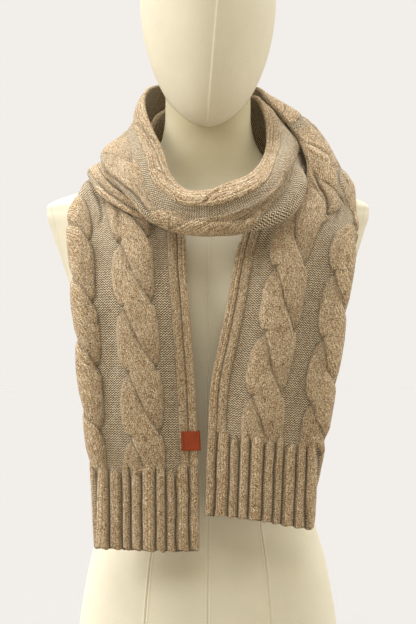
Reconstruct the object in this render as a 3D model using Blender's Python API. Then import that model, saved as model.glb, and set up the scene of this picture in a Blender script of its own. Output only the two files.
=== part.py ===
"""A cable-knit scarf wound once round the neck of a limbless dress form with an egg head.

The scarf is one long ribbon, cut into the stretches that show. A table row is one section across the ribbon: its
inner selvedge, its outer fold, how far the cloth bulges between them and how it turns back behind the fold. The
wall is plain inside, and the ribs and cables are raised in its outer points.
"""

import math
from collections import namedtuple

import bmesh
import bpy
import numpy as np

OBJECT_NAME = "knit_scarf_on_dress_form"
GAP = 0.0003  # between pieces that meet

# The knitted cloth
WALL = 0.004
EDGE_RIB = 0.011
EDGE_CHANNEL = 0.016
CABLE = 0.049
MIDDLE_CHANNEL = 0.020
SCARF_WIDTH = 4 * EDGE_RIB + 2 * EDGE_CHANNEL + 2 * CABLE + MIDDLE_CHANNEL
FIRST_CABLE = 2 * EDGE_RIB + EDGE_CHANNEL
SECOND_CABLE = FIRST_CABLE + CABLE + MIDDLE_CHANNEL
EDGE_RIB_HEIGHT = 0.0024
CABLE_HEIGHT = 0.0062
CABLE_PITCH = 0.074
STRAND_HALF = 0.0135
STRAND_SWING = 0.0118
HEM_RIBS = 15
HEM_RIB = SCARF_WIDTH / HEM_RIBS
HEM_RIB_HEIGHT = 0.0034
HEM_RIB_SHARE = 0.72  # of each rib's pitch that is raised
HEM_LENGTH = 0.098
SKIN = WALL + CABLE_HEIGHT / 2  # from the plain inside to the outline at a fold
EDGE_FADE = 0.012  # the pattern sinks into the wall over this width at the section's end

# Sampling
CABLE_COLUMNS = 8
ROW_STEP = CABLE_PITCH / 5
FACE_POINTS, FOLD_POINTS, BACK_POINTS = 40, 14, 24

# One row is one section of the ribbon, from the plain inside of its wall:
# inner and outer = the inner selvedge and the outer fold; bow and belly = how far the face bulges, near the inner
# selvedge and midway; roll = the fold's radius; first = the pattern's width at the inner end; behind = the width of
# cloth behind the fold, or less than none where the cloth ends within the fold.
Row = namedtuple("Row", "inner outer bow belly roll first behind")

RIBBON = (
    # the left tail, from its hem up over the shoulder
    Row((-0.010, -0.120, 0.180), (-0.131, -0.116, 0.180), 0.002, 0.005, 0.006, 0.000, 0.067),
    Row((-0.011, -0.124, 0.280), (-0.136, -0.118, 0.280), 0.002, 0.007, 0.006, 0.000, 0.063),
    Row((-0.013, -0.127, 0.327), (-0.141, -0.119, 0.327), 0.003, 0.008, 0.006, 0.000, 0.060),
    Row((-0.016, -0.127, 0.386), (-0.149, -0.116, 0.386), 0.004, 0.009, 0.006, 0.000, 0.055),
    Row((-0.020, -0.126, 0.436), (-0.152, -0.112, 0.436), 0.005, 0.008, 0.006, 0.000, 0.056),
    Row((-0.022, -0.123, 0.466), (-0.156, -0.108, 0.466), 0.005, 0.007, 0.006, 0.000, 0.053),
    Row((-0.025, -0.114, 0.503), (-0.158, -0.099, 0.503), 0.004, 0.007, 0.006, 0.000, 0.050),
    Row((-0.026, -0.100, 0.536), (-0.161, -0.089, 0.536), 0.003, 0.006, 0.006, 0.000, 0.029),
    Row((-0.030, -0.084, 0.562), (-0.163, -0.075, 0.561), 0.001, 0.003, 0.005, 0.000, 0.010),
    Row((-0.040, -0.067, 0.588), (-0.160, -0.055, 0.584), 0.000, 0.001, 0.004, 0.000, -0.002),
    Row((-0.053, -0.053, 0.615), (-0.155, -0.037, 0.599), -0.001, -0.001, 0.003, 0.000, -0.004),
    Row((-0.067, -0.024, 0.638), (-0.150, -0.006, 0.604), -0.002, -0.004, 0.003, 0.000, -0.005),
    # behind the neck, the first time
    Row((-0.068, 0.008, 0.653), (-0.138, 0.030, 0.606), -0.002, -0.004, 0.003, 0.000, -0.005),
    Row((-0.060, 0.040, 0.688), (-0.106, 0.072, 0.612), 0.000, 0.002, 0.003, 0.000, -0.003),
    Row((0.000, 0.062, 0.714), (0.000, 0.094, 0.622), 0.001, 0.004, 0.004, 0.000, 0.002),
    Row((0.046, 0.046, 0.716), (0.080, 0.072, 0.632), 0.001, 0.006, 0.004, 0.000, 0.000),
    Row((0.058, 0.016, 0.708), (0.113, 0.038, 0.623), 0.003, 0.007, 0.004, 0.000, -0.003),
    Row((0.066, -0.008, 0.686), (0.126, 0.004, 0.619), 0.004, 0.006, 0.004, 0.000, -0.004),
    # the band, from the right shoulder across the front
    Row((0.069, -0.036, 0.656), (0.117, -0.050, 0.614), 0.004, 0.010, 0.005, 0.000, 0.004),
    Row((0.063, -0.078, 0.627), (0.117, -0.104, 0.598), 0.004, 0.011, 0.006, 0.000, 0.032),
    Row((0.046, -0.106, 0.609), (0.094, -0.134, 0.564), 0.004, 0.011, 0.006, 0.000, 0.032),
    Row((0.022, -0.120, 0.599), (0.046, -0.147, 0.546), 0.004, 0.010, 0.006, 0.000, 0.032),
    Row((0.000, -0.124, 0.590), (0.000, -0.151, 0.543), 0.004, 0.009, 0.006, 0.000, 0.028),
    Row((-0.025, -0.117, 0.590), (-0.038, -0.147, 0.549), 0.004, 0.009, 0.006, 0.000, 0.018),
    Row((-0.043, -0.100, 0.607), (-0.066, -0.137, 0.562), 0.004, 0.009, 0.006, 0.000, 0.010),
    Row((-0.054, -0.068, 0.641), (-0.091, -0.114, 0.586), 0.004, 0.008, 0.005, 0.000, 0.000),
    Row((-0.067, -0.034, 0.672), (-0.111, -0.082, 0.605), 0.004, 0.002, 0.004, 0.000, -0.005),
    Row((-0.074, 0.002, 0.697), (-0.128, -0.036, 0.628), 0.004, -0.010, 0.003, 0.000, -0.005),
    # behind the neck, the second time
    Row((-0.072, 0.036, 0.718), (-0.126, 0.040, 0.640), 0.004, -0.012, 0.003, 0.000, -0.005),
    Row((-0.060, 0.070, 0.730), (-0.098, 0.102, 0.636), 0.004, -0.002, 0.004, 0.000, 0.000),
    Row((-0.030, 0.090, 0.735), (-0.054, 0.127, 0.620), 0.004, 0.010, 0.006, 0.000, 0.016),
    Row((0.004, 0.095, 0.736), (0.004, 0.133, 0.614), 0.004, 0.010, 0.006, 0.000, 0.014),
    Row((0.040, 0.086, 0.734), (0.064, 0.126, 0.622), 0.004, 0.010, 0.006, 0.000, 0.018),
    Row((0.064, 0.060, 0.723), (0.110, 0.095, 0.636), 0.004, 0.007, 0.005, 0.000, 0.008),
    Row((0.080, 0.030, 0.705), (0.142, 0.060, 0.630), 0.004, 0.005, 0.004, 0.000, 0.000),
    Row((0.097, 0.004, 0.685), (0.163, 0.024, 0.616), 0.003, 0.003, 0.003, 0.015, -0.003),
    # the right tail, down from the shoulder to its hem
    Row((0.113, -0.018, 0.660), (0.174, -0.008, 0.603), 0.000, 0.005, 0.003, 0.040, -0.004),
    Row((0.1150, -0.040, 0.643), (0.1765, -0.034, 0.597), -0.002, 0.006, 0.003, 0.052, -0.004),
    Row((0.1178, -0.054, 0.612), (0.177, -0.056, 0.582), 0.000, 0.005, 0.003, 0.058, -0.004),
    Row((0.1145, -0.065, 0.588), (0.176, -0.066, 0.568), 0.002, 0.005, 0.004, 0.048, 0.000),
    Row((0.080, -0.078, 0.569), (0.175, -0.078, 0.556), 0.002, 0.006, 0.005, 0.022, 0.016),
    Row((0.046, -0.094, 0.551), (0.173, -0.088, 0.544), 0.002, 0.006, 0.006, 0.004, 0.032),
    Row((0.034, -0.106, 0.526), (0.170, -0.095, 0.526), 0.003, 0.006, 0.006, 0.000, 0.040),
    Row((0.028, -0.116, 0.498), (0.165, -0.102, 0.493), 0.004, 0.007, 0.006, 0.000, 0.046),
    Row((0.023, -0.123, 0.468), (0.159, -0.108, 0.458), 0.005, 0.007, 0.006, 0.000, 0.051),
    Row((0.014, -0.126, 0.424), (0.153, -0.112, 0.410), 0.005, 0.008, 0.006, 0.000, 0.048),
    Row((0.004, -0.127, 0.376), (0.144, -0.116, 0.360), 0.004, 0.009, 0.006, 0.000, 0.047),
    Row((0.000, -0.127, 0.320), (0.135, -0.119, 0.302), 0.003, 0.008, 0.006, 0.000, 0.052),
    Row((-0.004, -0.122, 0.222), (0.121, -0.118, 0.204), 0.002, 0.005, 0.006, 0.000, 0.062),
)
# Each stretch of the ribbon is a node, from one row of the table to another
Stretch = namedtuple("Stretch", "name start end")
STRETCHES = (
    Stretch("left_hem_rib", 0, 1),
    Stretch("left_tail", 1, 11),
    Stretch("inner_wrap", 11, 17),
    Stretch("front_band", 17, 27),
    Stretch("outer_wrap", 27, 35),
    Stretch("right_tail", 35, 47),
    Stretch("right_hem_rib", 47, 48),
)
LEFT_CROSSING = 0.133  # along the scarf, from its left hem
RIGHT_CROSSING = 0.145  # from its right hem

# The ribbed lower selvedge that shows below the band's fold
BAND_EDGE = (
    Row((-0.044, -0.095, 0.566), (-0.066, -0.105, 0.553), 0.000, 0.001, 0.0012, 0.174, -0.002),
    Row((-0.076, -0.083, 0.590), (-0.103, -0.094, 0.570), 0.000, 0.001, 0.0012, 0.169, -0.002),
    Row((-0.092, -0.060, 0.610), (-0.131, -0.071, 0.589), 0.000, 0.001, 0.0012, 0.160, -0.002),
    Row((-0.106, -0.027, 0.632), (-0.147, -0.031, 0.614), 0.000, 0.000, 0.0012, 0.158, -0.002),
    Row((-0.113, 0.014, 0.634), (-0.148, 0.020, 0.618), 0.000, 0.000, 0.0012, 0.164, -0.002),
)

# The dress form: sections of the torso and neck, from its flat base up
Section = namedtuple("Section", "z half_width front back")
TORSO = (
    Section(0.000, 0.156, 0.102, 0.112),
    Section(0.040, 0.157, 0.104, 0.114),
    Section(0.080, 0.154, 0.103, 0.114),
    Section(0.120, 0.148, 0.101, 0.109),
    Section(0.160, 0.140, 0.097, 0.099),
    Section(0.205, 0.127, 0.091, 0.084),
    Section(0.255, 0.118, 0.087, 0.074),
    Section(0.310, 0.122, 0.089, 0.074),
    Section(0.370, 0.135, 0.094, 0.082),
    Section(0.430, 0.149, 0.100, 0.093),
    Section(0.482, 0.164, 0.099, 0.099),
    Section(0.520, 0.177, 0.093, 0.098),
    Section(0.550, 0.187, 0.083, 0.093),
    Section(0.572, 0.193, 0.074, 0.086),
    Section(0.584, 0.189, 0.068, 0.081),
    Section(0.591, 0.172, 0.064, 0.077),
    Section(0.599, 0.146, 0.060, 0.073),
    Section(0.608, 0.118, 0.057, 0.069),
    Section(0.618, 0.096, 0.054, 0.064),
    Section(0.630, 0.078, 0.052, 0.060),
    Section(0.642, 0.065, 0.051, 0.057),
    Section(0.656, 0.057, 0.050, 0.055),
    Section(0.676, 0.052, 0.050, 0.053),
    Section(0.700, 0.051, 0.050, 0.052),
    Section(0.745, 0.051, 0.050, 0.052),
)
TORSO_COLUMNS = 32
TORSO_POWER = 2.25  # of the sections' superellipse
BUST_X, BUST_Z, BUST_REACH, BUST_DEPTH = 0.070, 0.465, 0.048, 0.020
HEAD_Z, HEAD_HALF_WIDTH, HEAD_HALF_DEPTH = 0.828, 0.0816, 0.100
HEAD_RISE, HEAD_DROP, HEAD_POWER, CHIN_FORWARD = 0.092, 0.158, 1.85, 0.038
HEAD_SEGMENTS, HEAD_RINGS = 28, 18
PLATE_X, PLATE_Z, PLATE_SLOPE = 0.1885, 0.585, 0.24  # the arm plates' inner plane

# The leather tab, folded over the left tail's inner selvedge
TAB_WIDTH, TAB_HEIGHT, TAB_THICK = 0.0200, 0.0225, 0.0016
TAB_ALONG = 0.1265  # its middle, along the scarf from the left hem
TAB_CLEAR, TAB_BEND = 0.0004, 0.0016  # off the knit, and past its selvedge
TAB_ROWS, TAB_COLUMNS, TAB_BEND_POINTS = 4, 6, 7

# Colours, roughness
HEATHER = (0.38, 0.28, 0.19, 1.0)
LINEN = (0.80, 0.74, 0.56, 1.0)
RUST_LEATHER = (0.36, 0.09, 0.03, 1.0)
WOOL_ROUGHNESS, LINEN_ROUGHNESS, LEATHER_ROUGHNESS = 0.95, 0.85, 0.55


def material(name, colour, roughness):
    made = bpy.data.materials.new(name)
    made.use_nodes = True
    shader = made.node_tree.nodes["Principled BSDF"]
    shader.inputs["Base Color"].default_value = colour
    shader.inputs["Roughness"].default_value = roughness
    shader.inputs["Metallic"].default_value = 0.0
    return made


def add_object(name, mesh, surface, collection):
    piece = bpy.data.objects.new(name, mesh)
    mesh.materials.append(surface)
    mesh.shade_smooth()
    collection.objects.link(piece)
    return piece


# ---------------------------------------------------------------- the knit's pattern
def edge_rib(width, start):
    """The height of a rounded rib that starts this far across the cloth."""
    across = (width - start) / EDGE_RIB * 2 - 1
    return EDGE_RIB_HEIGHT * np.clip(1 - np.abs(across) ** 3, 0, None)


def rope_cable(width, length, start, crossing):
    """The height of a two-strand rope cable; one strand passes over the other at each crossing."""
    turn = math.pi * (length - crossing) / CABLE_PITCH
    swing = np.tanh(1.3 * np.sin(turn)) / math.tanh(1.3)
    crossed = 1 - np.abs(swing)
    rising = np.cos(turn)
    height = np.zeros(np.broadcast(width, length).shape)
    for side in (1, -1):
        centre = start + CABLE / 2 + side * STRAND_SWING * swing
        over = crossed * side * np.sign(rising)
        half = STRAND_HALF * (1 + 0.35 * crossed)
        across = np.abs((width - centre) / half)
        strand = CABLE_HEIGHT * (1 + 0.3 * over) * np.clip(1 - across**2.2, 0, None)
        height = np.maximum(height, strand)
    return height


def cable_relief(width, length, crossing):
    """How far the cloth stands out past its wall, by its place across and along the scarf."""
    height = np.zeros(np.broadcast(width, length).shape)
    for start in (0, EDGE_RIB, SCARF_WIDTH - 2 * EDGE_RIB, SCARF_WIDTH - EDGE_RIB):
        height = np.maximum(height, edge_rib(width, start))
    for start in (FIRST_CABLE, SECOND_CABLE):
        height = np.maximum(height, rope_cable(width, length, start, crossing))
    return height


def hem_relief(width, length, crossing):
    """The 2x2 rib of the hems: a round rib in each pitch, with a flat groove beside it."""
    across = (width / HEM_RIB) % 1 * 2 - 1
    return HEM_RIB_HEIGHT * np.clip(1 - np.abs(across / HEM_RIB_SHARE) ** 3, 0, None) + 0 * length


def cable_columns():
    """Places across the cloth where the pattern changes, for the wall's outer points."""
    edge = [0, 0.5 * EDGE_RIB, EDGE_RIB, 1.5 * EDGE_RIB, 2 * EDGE_RIB, 2 * EDGE_RIB + EDGE_CHANNEL / 2]
    first = [FIRST_CABLE + CABLE * i / CABLE_COLUMNS for i in range(CABLE_COLUMNS + 1)]
    half = edge + first
    return half + [SCARF_WIDTH / 2] + [SCARF_WIDTH - place for place in reversed(half)]


def hem_columns():
    """The crest and both feet of each rib of the hem."""
    side = (1 - HEM_RIB_SHARE) / 2
    places = [0.0]
    for rib in range(HEM_RIBS):
        places += [(rib + share) * HEM_RIB for share in (side, 0.5 - side / 2, 0.5 + side / 2, 1 - side)]
    return places + [SCARF_WIDTH]


# ---------------------------------------------------------------- the ribbon
class Ribbon:
    """A smooth curve through a table of rows, read at any length along it."""

    def __init__(self, rows):
        self.table = np.array([(*row.inner, *row.outer, *row[2:]) for row in rows])
        middle = (self.table[:, 0:3] + self.table[:, 3:6]) / 2
        steps = np.linalg.norm(np.diff(middle, axis=0), axis=1)
        self.along = np.concatenate([[0], np.cumsum(steps)])
        self.slopes = np.gradient(self.table, self.along, axis=0)

    def read(self, at):
        """The table's columns at these lengths, and the direction that the ribbon runs in there."""
        left = np.clip(np.searchsorted(self.along, at, side="right") - 1, 0, len(self.along) - 2)
        span = (self.along[left + 1] - self.along[left])[:, None]
        t = (at[:, None] - self.along[left][:, None]) / span
        start, end = self.table[left], self.table[left + 1]
        leaving, arriving = self.slopes[left] * span, self.slopes[left + 1] * span
        values = (2 * t**3 - 3 * t**2 + 1) * start + (3 * t**2 - 2 * t**3) * end
        values += (t**3 - 2 * t**2 + t) * leaving + (t**3 - t**2) * arriving
        rates = 6 * (t**2 - t) * (start - end) + (3 * t**2 - 4 * t + 1) * leaving + (3 * t**2 - 2 * t) * arriving
        return values, unit(rates[:, 0:3] + rates[:, 3:6])


def unit(vectors):
    return vectors / np.linalg.norm(vectors, axis=-1, keepdims=True)


def section_paths(table, forward):
    """Each section's path in space: its face, the fold at its outer side and the layer behind."""
    inner, outer = table[:, 0:3], table[:, 3:6]
    bow, belly, roll = (table[:, 6 + column, None] for column in range(3))
    across = unit(outer - inner)
    out = unit(np.cross(forward, across))
    reach = np.linalg.norm(outer - inner, axis=1)[:, None] - roll - SKIN

    def bulge(t):
        return bow * 6.75 * t * (1 - t) ** 2 + belly * 16 * t**2 * (1 - t) ** 2

    face = np.linspace(0, 1, FACE_POINTS)[None, :]
    turn = np.linspace(0, math.pi, FOLD_POINTS)[None, 1:-1]
    back = np.linspace(1, 0, BACK_POINTS)[None, :]
    sideways = np.hstack([reach * face, reach + roll * np.sin(turn), reach * back])
    outward = np.hstack([bulge(face), roll * (np.cos(turn) - 1), bulge(back) - 2 * roll])
    return inner[:, None, :] + across[:, None, :] * sideways[..., None] + out[:, None, :] * outward[..., None]


def ribbon_grid(ribbon, at, shares):
    """Points of the wall's plain inside at these shares of each section's cloth, with their outward directions
    and their places across the pattern."""
    table, forward = ribbon.read(at)
    paths = section_paths(table, forward)
    grid = np.empty((len(at), len(shares), 3))
    widths = np.empty((len(at), len(shares)))
    for index, path in enumerate(paths):
        lengths = np.concatenate([[0], np.cumsum(np.linalg.norm(np.diff(path, axis=0), axis=1))])
        fold_end = lengths[FACE_POINTS + FOLD_POINTS - 2]
        first, cloth = table[index, 9], min(fold_end + table[index, 10], lengths[-1])
        places = np.asarray(shares) * cloth
        widths[index] = first + places
        for axis in range(3):
            grid[index, :, axis] = np.interp(places, lengths, path[:, axis])
    normals = unit(np.cross(np.gradient(grid, axis=0), np.gradient(grid, axis=1)))
    level = forward[[0, -1], None, :]
    flat = normals[[0, -1]] - level * np.sum(normals[[0, -1]] * level, axis=-1, keepdims=True)
    normals[[0, -1]] = unit(flat)
    return grid, normals, widths


def zip_strips(first, second):
    """Triangles that join two runs of vertices of unlike counts, both running the same way."""
    faces = []
    i = j = 0
    while i < len(first) - 1 or j < len(second) - 1:
        ahead = (i + 1) * (len(second) - 1) <= (j + 1) * (len(first) - 1)
        if j == len(second) - 1 or (ahead and i < len(first) - 1):
            faces.append((first[i], first[i + 1], second[j]))
            i += 1
        else:
            faces.append((first[i], second[j + 1], second[j]))
            j += 1
    return faces


def wall_mesh(name, outside, inside):
    """A closed wall between an outer grid of points and a coarser inner one with as many rows."""
    built = bmesh.new()
    outer = [[built.verts.new(point) for point in line] for line in outside]
    inner = [[built.verts.new(point) for point in line] for line in inside]
    for here, beyond, wall in ((outer, outer, 1), (inner, inner, -1)):
        for row in range(len(here) - 1):
            for column in range(len(here[0]) - 1):
                corners = (here[row][column], here[row][column + 1], beyond[row + 1][column + 1],
                           beyond[row + 1][column])
                built.faces.new(corners[::wall])
    for row in range(len(outer) - 1):
        for edge in (0, -1):
            built.faces.new((outer[row][edge], outer[row + 1][edge], inner[row + 1][edge], inner[row][edge]))
    for row in (0, -1):
        for face in zip_strips(outer[row], inner[row]):
            built.faces.new(face)
    bmesh.ops.recalc_face_normals(built, faces=built.faces)
    mesh = bpy.data.meshes.new(name)
    built.to_mesh(mesh)
    built.free()
    return mesh


def inner_columns(columns):
    """About a third of the outer columns, with both ends."""
    return sorted(set(range(0, len(columns), 3)) | {len(columns) - 1})


def stretch_wall(name, ribbon, ends, columns, relief, crossing, step):
    """One stretch of the ribbon as a closed wall, half a gap short at both ends."""
    start, end = ends
    at = np.linspace(start + GAP / 2, end - GAP / 2, max(2, round((end - start) / step)) + 1)
    grid, normals, widths = ribbon_grid(ribbon, at, np.array(columns) / SCARF_WIDTH)
    to_edge = widths[:, -1:] - widths
    lift = WALL + relief(widths, at[:, None], crossing) * np.clip(to_edge / EDGE_FADE, 0, 1)
    return wall_mesh(name, grid + normals * lift[..., None], grid[:, inner_columns(columns)])


def scarf(collection):
    """Every stretch of the scarf, from the left hem round the neck to the right hem."""
    wool = material("heather_wool", HEATHER, WOOL_ROUGHNESS)
    ribbon = Ribbon(RIBBON)
    for stretch in STRETCHES:
        ends = ribbon.along[stretch.start], ribbon.along[stretch.end]
        crossing = LEFT_CROSSING if stretch.start < len(RIBBON) / 2 else ribbon.along[-1] - RIGHT_CROSSING
        if "rib" in stretch.name:
            mesh = stretch_wall(stretch.name, ribbon, ends, hem_columns(), hem_relief, crossing, HEM_LENGTH / 3)
        else:
            mesh = stretch_wall(stretch.name, ribbon, ends, cable_columns(), cable_relief, crossing, ROW_STEP)
        add_object(stretch.name, mesh, wool, collection)
    edge = Ribbon(BAND_EDGE)
    ends = edge.along[0], edge.along[-1]
    mesh = stretch_wall("band_edge", edge, ends, cable_columns()[::4], cable_relief, 0.0, ROW_STEP)
    add_object("band_edge", mesh, wool, collection)


def tab_section(face, normal, edge, grow):
    """One open loop round the selvedge, from the back leaf's end to the front leaf's, further off by the grow."""
    over = WALL + EDGE_RIB_HEIGHT + TAB_CLEAR + grow
    under = TAB_CLEAR + grow
    middle = face[0] + normal[0] * (over - under) / 2
    bend = [middle + edge * (TAB_BEND + grow) * math.cos(turn) + normal[0] * (over + under) / 2 * math.sin(turn)
            for turn in np.linspace(-math.pi / 2, math.pi / 2, TAB_BEND_POINTS)[1:-1]]
    return [*(face - normal * under)[::-1], *bend, *(face + normal * over)]


def leather_tab(collection):
    """The bare tab, made from the left tail's own points and moved off them."""
    leather = material("rust_leather", RUST_LEATHER, LEATHER_ROUGHNESS)
    at = TAB_ALONG + np.linspace(-TAB_HEIGHT / 2, TAB_HEIGHT / 2, TAB_ROWS)
    shares = np.linspace(0, TAB_WIDTH / SCARF_WIDTH, TAB_COLUMNS)
    grid, normals, _ = ribbon_grid(Ribbon(RIBBON), at, shares)
    edges = unit(grid[:, 0] - grid[:, 1])
    near, far = ([tab_section(*row, grow) for row in zip(grid, normals, edges)] for grow in (0.0, TAB_THICK))
    add_object("leather_tab", wall_mesh("leather_tab", far, near), leather, collection)


# ---------------------------------------------------------------- the dress form
def superellipse(angle, power):
    cosine, sine = math.cos(angle), math.sin(angle)
    scale = (abs(cosine) ** power + abs(sine) ** power) ** (-1 / power)
    return cosine * scale, sine * scale


def torso_point(section, angle):
    x, y = superellipse(angle, TORSO_POWER)
    x *= section.half_width
    y *= section.front if y < 0 else section.back
    if y < 0:
        away = ((abs(x) - BUST_X) ** 2 + (section.z - BUST_Z) ** 2) / BUST_REACH**2
        y -= BUST_DEPTH * math.exp(-away)
    return x, y, section.z


def torso_mesh():
    """The torso and neck as a loft of sections, closed flat at both ends."""
    built = bmesh.new()
    rings = []
    for section in TORSO:
        angles = [2 * math.pi * column / TORSO_COLUMNS for column in range(TORSO_COLUMNS)]
        rings.append([built.verts.new(torso_point(section, angle)) for angle in angles])
    for lower, upper in zip(rings, rings[1:]):
        for column in range(TORSO_COLUMNS):
            beside = (column + 1) % TORSO_COLUMNS
            built.faces.new((lower[column], lower[beside], upper[beside], upper[column]))
    built.faces.new(list(reversed(rings[0])))
    built.faces.new(rings[-1])
    mesh = bpy.data.meshes.new("form_torso")
    built.to_mesh(mesh)
    built.free()
    return mesh


def egg_mesh(name, grow):
    """The egg head, or a copy that is larger all round by this much."""
    built = bmesh.new()
    bmesh.ops.create_uvsphere(built, u_segments=HEAD_SEGMENTS, v_segments=HEAD_RINGS, radius=1.0)
    for vertex in built.verts:
        x, y, z = vertex.co
        round_share = math.hypot(x, y)
        if z < 0:
            level = max(0.0, 1 - abs(z) ** HEAD_POWER) ** (1 / HEAD_POWER)
        else:
            level = round_share
        widen = level / round_share if round_share > 0.001 else 0.0
        rise = HEAD_RISE if z > 0 else HEAD_DROP
        forward = CHIN_FORWARD * min(z, 0.0) ** 2
        vertex.co = (
            x * widen * (HEAD_HALF_WIDTH + grow),
            y * widen * (HEAD_HALF_DEPTH + grow) - forward,
            HEAD_Z + z * (rise + grow),
        )
    mesh = bpy.data.meshes.new(name)
    built.to_mesh(mesh)
    built.free()
    return mesh


def plate_cutter(name, side, inset, collection):
    """A block beyond one arm plate's plane, moved out by the inset."""
    length, height = 0.2, 0.26
    bpy.ops.mesh.primitive_cube_add(size=1.0)
    cutter = bpy.context.active_object
    cutter.name = name
    tilt = math.atan(PLATE_SLOPE)
    cutter.scale = (length, 2 * length, height)
    cutter.rotation_euler = (0, side * tilt, 0)
    out = length / 2 + inset
    cutter.location = (side * (PLATE_X + out * math.cos(tilt)), 0, PLATE_Z - out * math.sin(tilt))
    for linked in cutter.users_collection:
        linked.objects.unlink(cutter)
    collection.objects.link(cutter)
    cutter.hide_render = True
    cutter.display_type = "WIRE"
    return cutter


def cut(piece, operation, cutter):
    boolean = piece.modifiers.new(cutter.name, "BOOLEAN")
    boolean.operation = operation
    boolean.object = cutter


def dress_form(collection, cutters):
    """The torso with its neck hollowed for the egg, the egg itself and the arm plates."""
    linen = material("cream_linen", LINEN, LINEN_ROUGHNESS)
    torso = add_object("form_torso", torso_mesh(), linen, collection)
    add_object("form_head", egg_mesh("form_head", 0.0), linen, collection)
    socket = bpy.data.objects.new("neck_socket", egg_mesh("neck_socket", GAP))
    cutters.objects.link(socket)
    socket.hide_render = True
    socket.display_type = "WIRE"
    cut(torso, "DIFFERENCE", socket)
    for side, name in ((-1, "left"), (1, "right")):
        plate = add_object(f"arm_plate_{name}", torso_mesh(), linen, collection)
        cut(plate, "INTERSECT", plate_cutter(f"plate_{name}_outside", side, GAP / 2, cutters))
        cut(torso, "DIFFERENCE", plate_cutter(f"torso_{name}_trim", side, -GAP / 2, cutters))


def clear_scene():
    for item in list(bpy.data.objects):
        bpy.data.objects.remove(item, do_unlink=True)


def main():
    clear_scene()
    collection = bpy.data.collections.new(OBJECT_NAME)
    cutters = bpy.data.collections.new("cutters")
    bpy.context.scene.collection.children.link(collection)
    bpy.context.scene.collection.children.link(cutters)
    dress_form(collection, cutters)
    scarf(collection)
    leather_tab(collection)


main()
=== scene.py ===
"""The looks of a cable-knit scarf, wound once round the neck of a cream dress form."""

import math
from collections import namedtuple

import bmesh
import bpy
import numpy as np
from bpy.props import FloatProperty, FloatVectorProperty, IntProperty, PointerProperty
from mathutils import Matrix, Vector


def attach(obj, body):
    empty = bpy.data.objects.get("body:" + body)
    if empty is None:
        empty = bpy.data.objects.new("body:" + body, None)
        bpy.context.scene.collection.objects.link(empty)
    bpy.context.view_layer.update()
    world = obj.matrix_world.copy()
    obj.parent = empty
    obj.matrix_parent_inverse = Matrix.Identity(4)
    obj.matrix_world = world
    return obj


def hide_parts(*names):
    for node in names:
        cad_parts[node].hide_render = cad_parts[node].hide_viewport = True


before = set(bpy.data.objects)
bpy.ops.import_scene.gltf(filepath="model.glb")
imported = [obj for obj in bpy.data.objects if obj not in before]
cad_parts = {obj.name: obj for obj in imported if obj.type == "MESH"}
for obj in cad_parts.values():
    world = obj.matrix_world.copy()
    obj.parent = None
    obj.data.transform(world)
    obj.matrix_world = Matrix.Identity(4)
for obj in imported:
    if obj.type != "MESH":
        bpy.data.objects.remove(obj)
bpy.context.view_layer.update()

bl_info = {
    "name": "Cable-knit scarf on a dress form",
    "version": (1, 0, 0),
    "blender": (4, 5, 0),
    "location": "View3D > Sidebar > Scarf",
    "description": "Builds the knitted scarf, its leather tab and the dress form that it hangs on",
    "category": "Add Mesh",
}

BODY = "root"
SHARP_ANGLE = math.radians(78)  # an edge that turns further than this is a sharp one

# ---------------------------------------------------------------- tables
# One row is one section of the scarf, in millimetres, from the plain inside of its wall: inner and outer
# = the inner selvedge and the outer fold; bow and belly = how far the face bulges, near the inner
# selvedge and midway; roll = the fold's radius; first = the pattern's width at the inner end; behind =
# the width of cloth behind the fold, or less than none where the cloth ends within the fold.
Row = namedtuple("Row", "inner outer bow belly roll first behind")

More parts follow.
